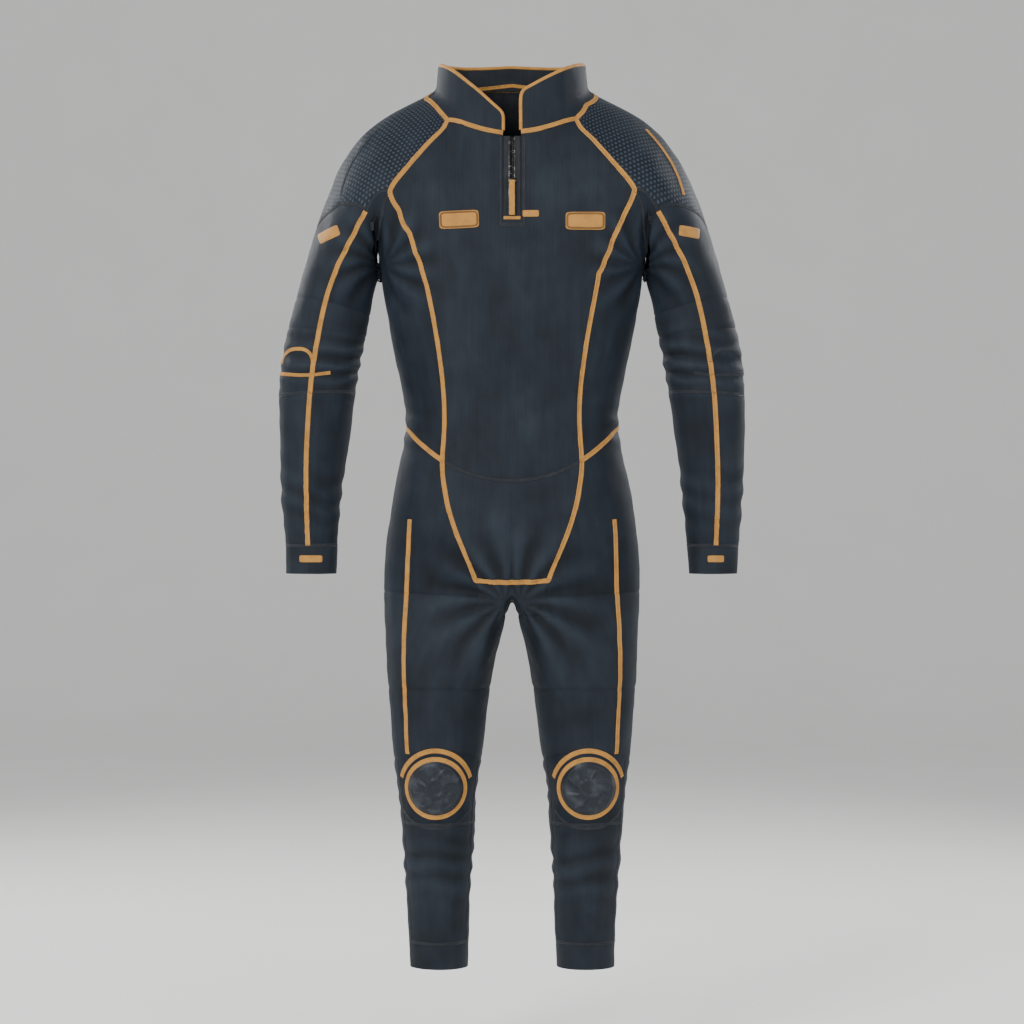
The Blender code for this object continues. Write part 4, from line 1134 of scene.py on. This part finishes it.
def patch_on_skin(name, centre, half, power=8.0, tilt=0.0, rings=9, count=56, height=None, sink=0.0006):
    """Closed patch that follows the skin; height(r, turn) gives its top at r from 0 to 1."""
    height = height or (lambda r, turn: 0.0013 * min(1.0, (1.0 - r) * 9 + 0.35))
    top, bottom = [], []
    for ring in range(rings + 1):
        for i in range(count if ring else 1):
            r, turn = ring / rings, 2 * math.pi * i / count
            c, s = math.cos(turn), math.sin(turn)
            dx = math.copysign(abs(c) ** (2 / power), c) * half[0] * r
            dz = math.copysign(abs(s) ** (2 / power), s) * half[1] * r
            point, normal = on_skin(centre[0] + dx - dz * tilt, centre[1] + dz + dx * tilt)
            normal = Vector((normal.x * 0.5, normal.y, normal.z * 0.5)).normalized()
            top.append(point + normal * height(r, turn))
            bottom.append(point - normal * sink)
    faces = []
    for i in range(count):
        j = (i + 1) % count
        faces.append((0, 1 + i, 1 + j))
        for ring in range(rings - 1):
            a, b = 1 + ring * count, 1 + (ring + 1) * count
            faces.append((a + i, b + i, b + j, a + j))
    total_points = len(top)
    faces += [tuple(total_points + k for k in reversed(f)) for f in faces]
    last = 1 + (rings - 1) * count
    for i in range(count):
        j = (i + 1) % count
        faces.append((last + j, last + i, total_points + last + i, total_points + last + j))
    piece = new_mesh(name, top + bottom, faces)
    edit(piece)
    bpy.ops.mesh.normals_make_consistent(inside=False)
    done()
    smooth(piece, 40)
    return piece


def loop_on_skin(centre, half, power=8.0, tilt=0.0, start=0.0, stop=360.0, count=72):
    """Points on the skin along a rounded outline, or part of one."""
    path = []
    for i in range(count + 1):
        turn = math.radians(start + (stop - start) * i / count)
        c, s = math.cos(turn), math.sin(turn)
        dx = math.copysign(abs(c) ** (2 / power), c) * half[0]
        dz = math.copysign(abs(s) ** (2 / power), s) * half[1]
        path.append(on_skin(centre[0] + dx - dz * tilt, centre[1] + dz + dx * tilt)[0])
    return path


def finish_piece(piece, material, zone, nodes=()):
    piece.data.materials.append(material)
    attach(piece, zone)
    if nodes:
        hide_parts(*nodes)
    return piece


SUIT = ("ride", "suit_body")
FINE_SEAM = dict(half=0.0015, height=0.0006, pitch=0.0030)
THIN_AMBER = dict(half=0.0030, height=0.0011, pitch=0.0038)

# %% [markdown]
# ## Chest patches
# Two woven amber labels with nothing written on them, each held by a line of thread just
# inside its edge.

# %% Chest patches and shoulder, cuff and elbow tacks
for side, centre, tilt in (("left", (0.115, -0.266), 0.0), ("right", (-0.083, -0.264), 0.05)):
    patch = patch_on_skin("chest_patch_" + side, centre, (0.031, 0.014), tilt=tilt)
    finish_piece(patch, amber_webbing, SUIT, ["chest_patch_" + side])
    tree = BVHTree.FromPolygons([v.co for v in patch.data.vertices],
                                [tuple(p.vertices) for p in patch.data.polygons])
    border = [on_skin(p.x, p.z, tree)[0] for p in loop_on_skin(centre, (0.0285, 0.0115), tilt=tilt)]
    stitches = seam_piece("chest_patch_stitches_" + side, [border], FINE_SEAM, tree)
    finish_piece(stitches, thread_finish("patch_thread_" + side, AMBER_DARK, (0.08, 0.04, 0.015, 1), 0.6),
                 SUIT)

TACKS = [
    # name, zone, centre, half size, tilt
    ("right_shoulder_tack", ("bend", "right", "upper_sleeve_outer"), (-0.290, -0.283), (0.017, 0.0085), 0.36),
    ("left_shoulder_tack", ("bend", "left", "upper_sleeve_outer"), (0.280, -0.280), (0.017, 0.0085), -0.10),
    ("right_cuff_tack", ("ride", "right_forearm"), (-0.318, -0.796), (0.018, 0.0055), 0.0),
    ("left_cuff_tack", ("ride", "left_forearm"), (0.322, -0.796), (0.013, 0.0053), 0.0),
]
for name, zone, centre, half, tilt in TACKS:
    tack = patch_on_skin(name, centre, half, tilt=tilt, rings=6, count=40)
    finish_piece(tack, amber_webbing, zone)



def elbow_lines(sign):
    """The arc over the elbow and the line across it, on the side that sign gives."""
    arc = loop_on_skin((sign * 0.341, -0.492), (0.026, 0.029), power=2.6, start=8, stop=172)
    line = [on_skin(sign * (0.288 + 0.083 * i / 20), -0.501 - 0.004 * math.sin(i / 20 * math.pi))[0]
            for i in range(21)]
    return [arc, line]


def shoulder_line(sign):
    """The short curved line on the outside of the grip panel."""
    return [[on_skin(sign * (0.214 + 0.058 * t + 0.010 * math.sin(math.pi * t)), -0.112 - 0.108 * t)[0]
             for t in (i / 24 for i in range(25))]]


lines_on_skin = [
    ("amber_elbow_patch_right", ("bend", "right", "elbow_panel"), "amber", elbow_lines(-1)),
    ("dark_elbow_patch_left", ("bend", "left", "elbow_panel"), "dark", elbow_lines(1)),
    ("amber_shoulder_line_left", SUIT, "amber", shoulder_line(1)),
    ("dark_shoulder_line_right", SUIT, "dark", shoulder_line(-1)),
]
for name, zone, thread, runs in lines_on_skin:
    piece = seam_piece(name, runs, THIN_AMBER if thread == "amber" else DARK_SEAM)
    finish_piece(piece, amber_thread if thread == "amber" else dark_thread, zone)

# %% [markdown]
# ## Knee pads
# A moulded rubber disc lies inside an amber ring, under a wider amber arc. The disc carries a
# plain pattern of ribs: a rim, a hub and eight curved ribs between them.

# %% Knee pads, rings and arcs
KNEE = (0.1205, -1.158)


def pad_height(r, turn):
    rim = math.exp(-((r - 0.86) / 0.07) ** 2)
    hub = math.exp(-((r - 0.30) / 0.08) ** 2)
    rib = max(0.0, math.cos(8 * turn + 5.0 * r)) ** 2 * (0.30 < r < 0.86)
    edge = min(1.0, (1.0 - r) * 12)
    return 0.0008 + edge * (0.0022 + 0.0024 * max(rim, hub, rib) - 0.0012 * r * r)


for side, sign in (("left", 1), ("right", -1)):
    zone = ("bend", side, "knee_front")
    centre = (sign * KNEE[0], KNEE[1])
    pad = patch_on_skin(side + "_knee_disc", centre, (0.0435, 0.0435), power=2.0, rings=40, count=128,
                        height=pad_height)
    finish_piece(pad, knee_print, zone, [side + "_knee_pad"])
    ring = loop_on_skin(centre, (0.0465, 0.0465), power=2.0, count=110)
    arc = loop_on_skin((centre[0], centre[1] + 0.004), (0.0555, 0.0560), power=2.0, start=12, stop=168)
    low = loop_on_skin((centre[0], centre[1] + 0.002), (0.060, 0.066), power=2.4, start=212, stop=328)
    piece = seam_piece(side + "_knee_rings", [ring, arc], AMBER_SEAM)
    finish_piece(piece, amber_thread, zone)
    piece = seam_piece(side + "_knee_underline", [low], DARK_SEAM)
    finish_piece(piece, dark_thread, zone)

# %% [markdown]
# ## Collar binding
# The cut edge of the collar is wrapped in an amber tape, along the top and down both sides of
# the front opening. It is a round sweep along the middle of the edge's thickness.

# %% Bind the collar
def rim_run(keep):
    """Longest run of open edges of the panels' shared skin whose points pass keep(point)."""
    return max(rim_chains(keep), key=len)


def rim_chains(keep):
    edges = {}
    for a, b in rim_edges:
        if keep(rim_spot[a]) and keep(rim_spot[b]):
            edges.setdefault(a, []).append(b)
            edges.setdefault(b, []).append(a)
    ends = [v for v, n in edges.items() if len(n) == 1] or list(edges)[:1]
    seen, runs = set(), []
    for v in ends:
        run = []
        while v is not None and v not in seen:
            seen.add(v)
            run.append(rim_spot[v])
            v = next((n for n in edges[v] if n not in seen), None)
        if len(run) > 3:
            runs.append(run)
    return runs


def tube(name, path, radius, sides=12, step=0.003):
    """Round closed sweep along an open path, by Blender's own curve bevel."""
    line, _ = resample(path, step)
    line = calm(line, 3, False)
    data = bpy.data.curves.new(name, "CURVE")
    data.dimensions = "3D"
    data.bevel_depth = radius
    data.bevel_resolution = sides // 4
    data.use_fill_caps = True
    spline = data.splines.new("POLY")
    spline.points.add(len(line) - 1)
    for point, p in zip(spline.points, line):
        point.co = (*p, 1.0)
    obj = bpy.data.objects.new(name, data)
    suit.objects.link(obj)
    only(obj)
    bpy.ops.object.convert(target="MESH")
    obj = bpy.context.object
    edit(obj)
    bpy.ops.mesh.remove_doubles(threshold=0.00005)
    bpy.ops.mesh.normals_make_consistent(inside=False)
    done()
    smooth(obj, 60)
    return obj


def seam_height(p):
    """Height of the neck seam at the front, so that the binding stops there."""
    return -0.121 + 0.3 * (abs(p.x) - 0.014)


collar_edge = rim_run(lambda p: p.z > -0.122 and p.z > seam_height(p) - 0.004)
inward = []
for p in collar_edge:
    normal = skin_tree.find_nearest(p)[1]
    inward.append(p - normal * SHEET / 2)
binding = tube("collar_binding", inward, 0.0031)
finish_piece(binding, amber_webbing, SUIT, ["neck_binding"])
print("collar binding", len(collar_edge), "points")

# %% Amber seam inside the back of the collar
collar_tree = BVHTree.FromPolygons(
    [v.co for v in panels["collar_back"].data.vertices],
    [tuple(p.vertices) for p in panels["collar_back"].data.polygons])
run = []
for i in range(41):
    x = -0.085 + 0.17 * i / 40
    hit = collar_tree.ray_cast(Vector((x, 0.0, -0.030 - 0.010 * abs(x) / 0.085)), Vector((0, 1, 0)))[0]
    if hit:
        run.append(hit)
piece = seam_piece("inner_collar_seam", [run], THIN_AMBER, collar_tree)
finish_piece(piece, amber_thread, SUIT)

# %% [markdown]
# ## The front zip
# Two woven tapes carry moulded teeth that mesh in the middle. The slider rides over them, and
# its amber webbing pull hangs from a pin. One tooth is modelled and an Array makes the row.
# All of it is built upright at the origin, then leaned to the chest by one matrix.

# %% Zip frame and parts
ZIP = Matrix.Translation((0.0, -0.07132, -0.12989)) @ Matrix.Rotation(-0.16515, 4, "X")
ZIP_LONG, PITCH, TAPE_Y, PARK = 0.130, 0.004, 0.0014, -0.075


def block(name, size, place, bevel, segments=2, array=None):
    """Bevelled box, made from a cube in edit mode; array=(count, step along Z)."""
    bpy.ops.object.select_all(action="DESELECT")
    bpy.ops.mesh.primitive_cube_add(size=1.0, location=(0, 0, 0))
    obj = bpy.context.object
    obj.name = obj.data.name = name
    for home in list(obj.users_collection):
        home.objects.unlink(obj)
    suit.objects.link(obj)
    edit(obj)
    bpy.ops.transform.resize(value=size)
    bpy.ops.transform.translate(value=place)
    bpy.ops.mesh.bevel(offset=bevel, segments=segments, affect="EDGES")
    done()
    if array:
        apply_modifier(obj, "ARRAY", count=array[0], use_relative_offset=False, use_constant_offset=True,
                       constant_offset_displace=(0, 0, array[1]))
    return obj


def lean(obj, matrix=ZIP):
    obj.data.transform(matrix)
    obj.data.update()
    smooth(obj, 40)
    return obj


def join(name, *objects):
    first = only(*objects)
    bpy.ops.object.join()
    first.name = first.data.name = name
    return first


for side, sign in (("left", 1), ("right", -1)):
    tape = block("zip_tape_cloth_" + side, (0.0108, 0.0011, ZIP_LONG),
                 (sign * 0.0083, TAPE_Y, -ZIP_LONG / 2), 0.0004)
    finish_piece(lean(tape), zip_tape_cloth, SUIT, ["zip_tape_" + side])
    rib = block("zip_rib", (0.0022, 0.0022, ZIP_LONG - 0.003), (sign * 0.0042, TAPE_Y, -ZIP_LONG / 2), 0.0008)
    shift = 0.0 if sign > 0 else PITCH / 2
    teeth = block("zip_teeth_" + side, (0.0040, 0.0023, 0.0018),
                  (sign * 0.0023, TAPE_Y, -ZIP_LONG + 0.0028 + shift), 0.0005, 2, (31, PITCH))
    teeth = join("zip_teeth_" + side, teeth, rib)
    finish_piece(lean(teeth), dark_metal, SUIT)

flap = block("zip_underflap", (0.046, 0.0020, ZIP_LONG + 0.010),
             (0, 0.0056, -(ZIP_LONG + 0.010) / 2), 0.0008)
finish_piece(lean(flap), lining, SUIT, ["zip_flap"])
stop = block("zip_bartack", (0.0270, 0.0026, 0.0056), (0, TAPE_Y - 0.0003, -ZIP_LONG - 0.0031), 0.0009, 3)
finish_piece(lean(stop), amber_webbing, SUIT, ["zip_stop"])

# %% Slider and pull tab
near, far = TAPE_Y - 0.0012, TAPE_Y + 0.0012
front_plate = block("slider_front", (0.0118, 0.0014, 0.0128), (0, near - 0.0008, PARK), 0.0006, 3)
back_plate = block("slider_back", (0.0118, 0.0011, 0.0128), (0, far + 0.0006, PARK), 0.0005, 3)
for plate in (front_plate, back_plate):     # a slider is narrower at its foot
    for v in plate.data.vertices:
        v.co.x *= 1.0 - 0.24 * min(max((PARK - v.co.z) / 0.0064, 0.0), 1.0)
web = block("slider_web", (0.0004, 0.0034, 0.0022), (0, TAPE_Y, PARK + 0.0050), 0.0001)
ears = [block("slider_ear", (0.0012, 0.0048, 0.0040), (s * 0.0051, near - 0.0037, PARK), 0.0004)
        for s in (-1, 1)]
bpy.ops.object.select_all(action="DESELECT")
bpy.ops.mesh.primitive_cylinder_add(vertices=20, radius=0.0009, depth=0.0110, location=(0, 0, 0))
pin = bpy.context.object
edit(pin)
bpy.ops.mesh.bevel(offset=0.0002, segments=2, affect="EDGES")
done()
pin.data.transform(Matrix.Translation((0, near - 0.0043, PARK)) @ Matrix.Rotation(math.pi / 2, 4, "Y"))
slider = join("slider", front_plate, back_plate, web, *ears, pin)
finish_piece(lean(slider), dark_metal, ("ride", "zip_slider_body"), ["zip_slider"])

pin_y = near - 0.0043
half_thick, roll = 0.0009, 0.0021
side_view = []
for i in range(25):
    turn = -math.pi / 2 + 0.44 + (2 * math.pi - 0.88) * i / 24
    side_view.append((roll * math.cos(turn), roll * math.sin(turn)))
for i in range(13):
    side_view.append((-half_thick, -0.003 - 0.051 * i / 12))
side_view.append((0.0, -0.0552))
for i in range(13):
    side_view.append((half_thick, -0.054 + 0.051 * i / 12))
spots = [(x, y + pin_y, z + PARK) for x in (-0.0042, 0.0042) for y, z in side_view]
n = len(side_view)
tab_faces = [tuple(range(n))[::-1], tuple(range(n, 2 * n))]
tab_faces += [(i, (i + 1) % n, n + (i + 1) % n, n + i) for i in range(n)]
tab = new_mesh("webbing_pull", spots, tab_faces)
edit(tab)
bpy.ops.mesh.normals_make_consistent(inside=False)
bpy.ops.mesh.bevel(offset=0.0002, segments=1, affect="EDGES")
done()
bars = [block("tab_bar", (0.0088, 0.0024, 0.0011), (0, pin_y, PARK - drop), 0.0004)
        for drop in (0.0068, 0.0086, 0.0104, 0.0465, 0.0485, 0.0505)]
tab = join("webbing_pull", tab, *bars)
finish_piece(lean(tab), amber_webbing, ("ride", "zip_tab_body"), ["zip_pull_tab"])
keeper = patch_on_skin("zip_keeper", (0.0290, -0.2545), (0.0130, 0.0053), rings=6, count=40)
finish_piece(keeper, amber_webbing, SUIT)
edges = []
for sign in (-1, 1):
    edges.append([on_skin(sign * 0.0185, -0.132 - 0.140 * i / 30)[0] for i in range(31)])
edges.append([on_skin(-0.0185 + 0.037 * i / 12, -0.2725)[0] for i in range(13)])
piece = seam_piece("dark_zip_topstitch", edges, DARK_SEAM)
finish_piece(piece, dark_thread, SUIT)
print("zip done")

# %% [markdown]
# ## Camera, floor and light
# The suit is seen square on, level with its middle, through a long lens. A pale floor and a
# curved backdrop stay out of the way, and three large soft lights shape the dark cloth.

# %% Camera and stage
camera = bpy.data.objects.new("camera", bpy.data.cameras.new("camera"))
scene.collection.objects.link(camera)
camera.data.lens = 90
camera.data.sensor_width = 36
camera.location = (0.0, -4.10, -0.722)
camera.rotation_euler = (math.pi / 2, 0, 0)
camera.data.clip_start, camera.data.clip_end = 0.1, 60
scene.camera = camera

bpy.ops.object.select_all(action="DESELECT")
bpy.ops.mesh.primitive_plane_add(size=14, location=(0, 1.0, -1.60))
floor = bpy.context.object
floor.name = "floor"
bpy.ops.object.mode_set(mode="EDIT")
bm = bmesh.from_edit_mesh(floor.data)
bpy.ops.mesh.select_mode(type="EDGE")
bpy.ops.mesh.select_all(action="DESELECT")
for e in bm.edges:
    if all(v.co.y > 6.9 for v in e.verts):
        e.select_set(True)
bmesh.update_edit_mesh(floor.data)
bpy.ops.mesh.extrude_region_move(TRANSFORM_OT_translate={"value": (0, 0, 9)})
bpy.ops.object.mode_set(mode="OBJECT")
apply_modifier(floor, "BEVEL", width=2.5, segments=12, limit_method="ANGLE")
bpy.ops.object.shade_smooth()
stage, tree, shader = finish_named("pale_floor", rough=0.9)
grain = add_node(tree, "ShaderNodeTexNoise", in_2=3.0)
tree_link(tree, coordinates(tree, "Object"), grain.inputs[0])
tree_link(tree, mix_colour(tree, grain.outputs[0], (0.79, 0.78, 0.76, 1), (0.84, 0.83, 0.81, 1)),
          shader.inputs["Base Color"])
floor.data.materials.append(stage)


def soft_light(name, place, target, size, power, colour=(1, 1, 1)):
    light = bpy.data.objects.new(name, bpy.data.lights.new(name, "AREA"))
    scene.collection.objects.link(light)
    light.location = place
    light.rotation_mode = "QUATERNION"
    light.rotation_quaternion = (Vector(target) - Vector(place)).to_track_quat("-Z", "Y")
    light.data.size = size
    light.data.energy = power
    light.data.color = colour


soft_light("key", (-2.2, -3.0, 1.0), (0, 0, -0.7), 1.6, 150)
soft_light("fill", (2.8, -2.6, -0.2), (0, 0, -0.7), 2.2, 60, (0.95, 0.97, 1.0))
soft_light("rim_left", (-2.0, 1.8, 0.6), (0, 0, -0.6), 1.2, 60)
soft_light("rim_right", (2.0, 1.8, 0.6), (0, 0, -0.6), 1.2, 60)
world = bpy.data.worlds.new("studio")
world.use_nodes = True
world.node_tree.nodes["Background"].inputs[0].default_value = (0.86, 0.88, 0.90, 1)
world.node_tree.nodes["Background"].inputs[1].default_value = 0.68
scene.world = world
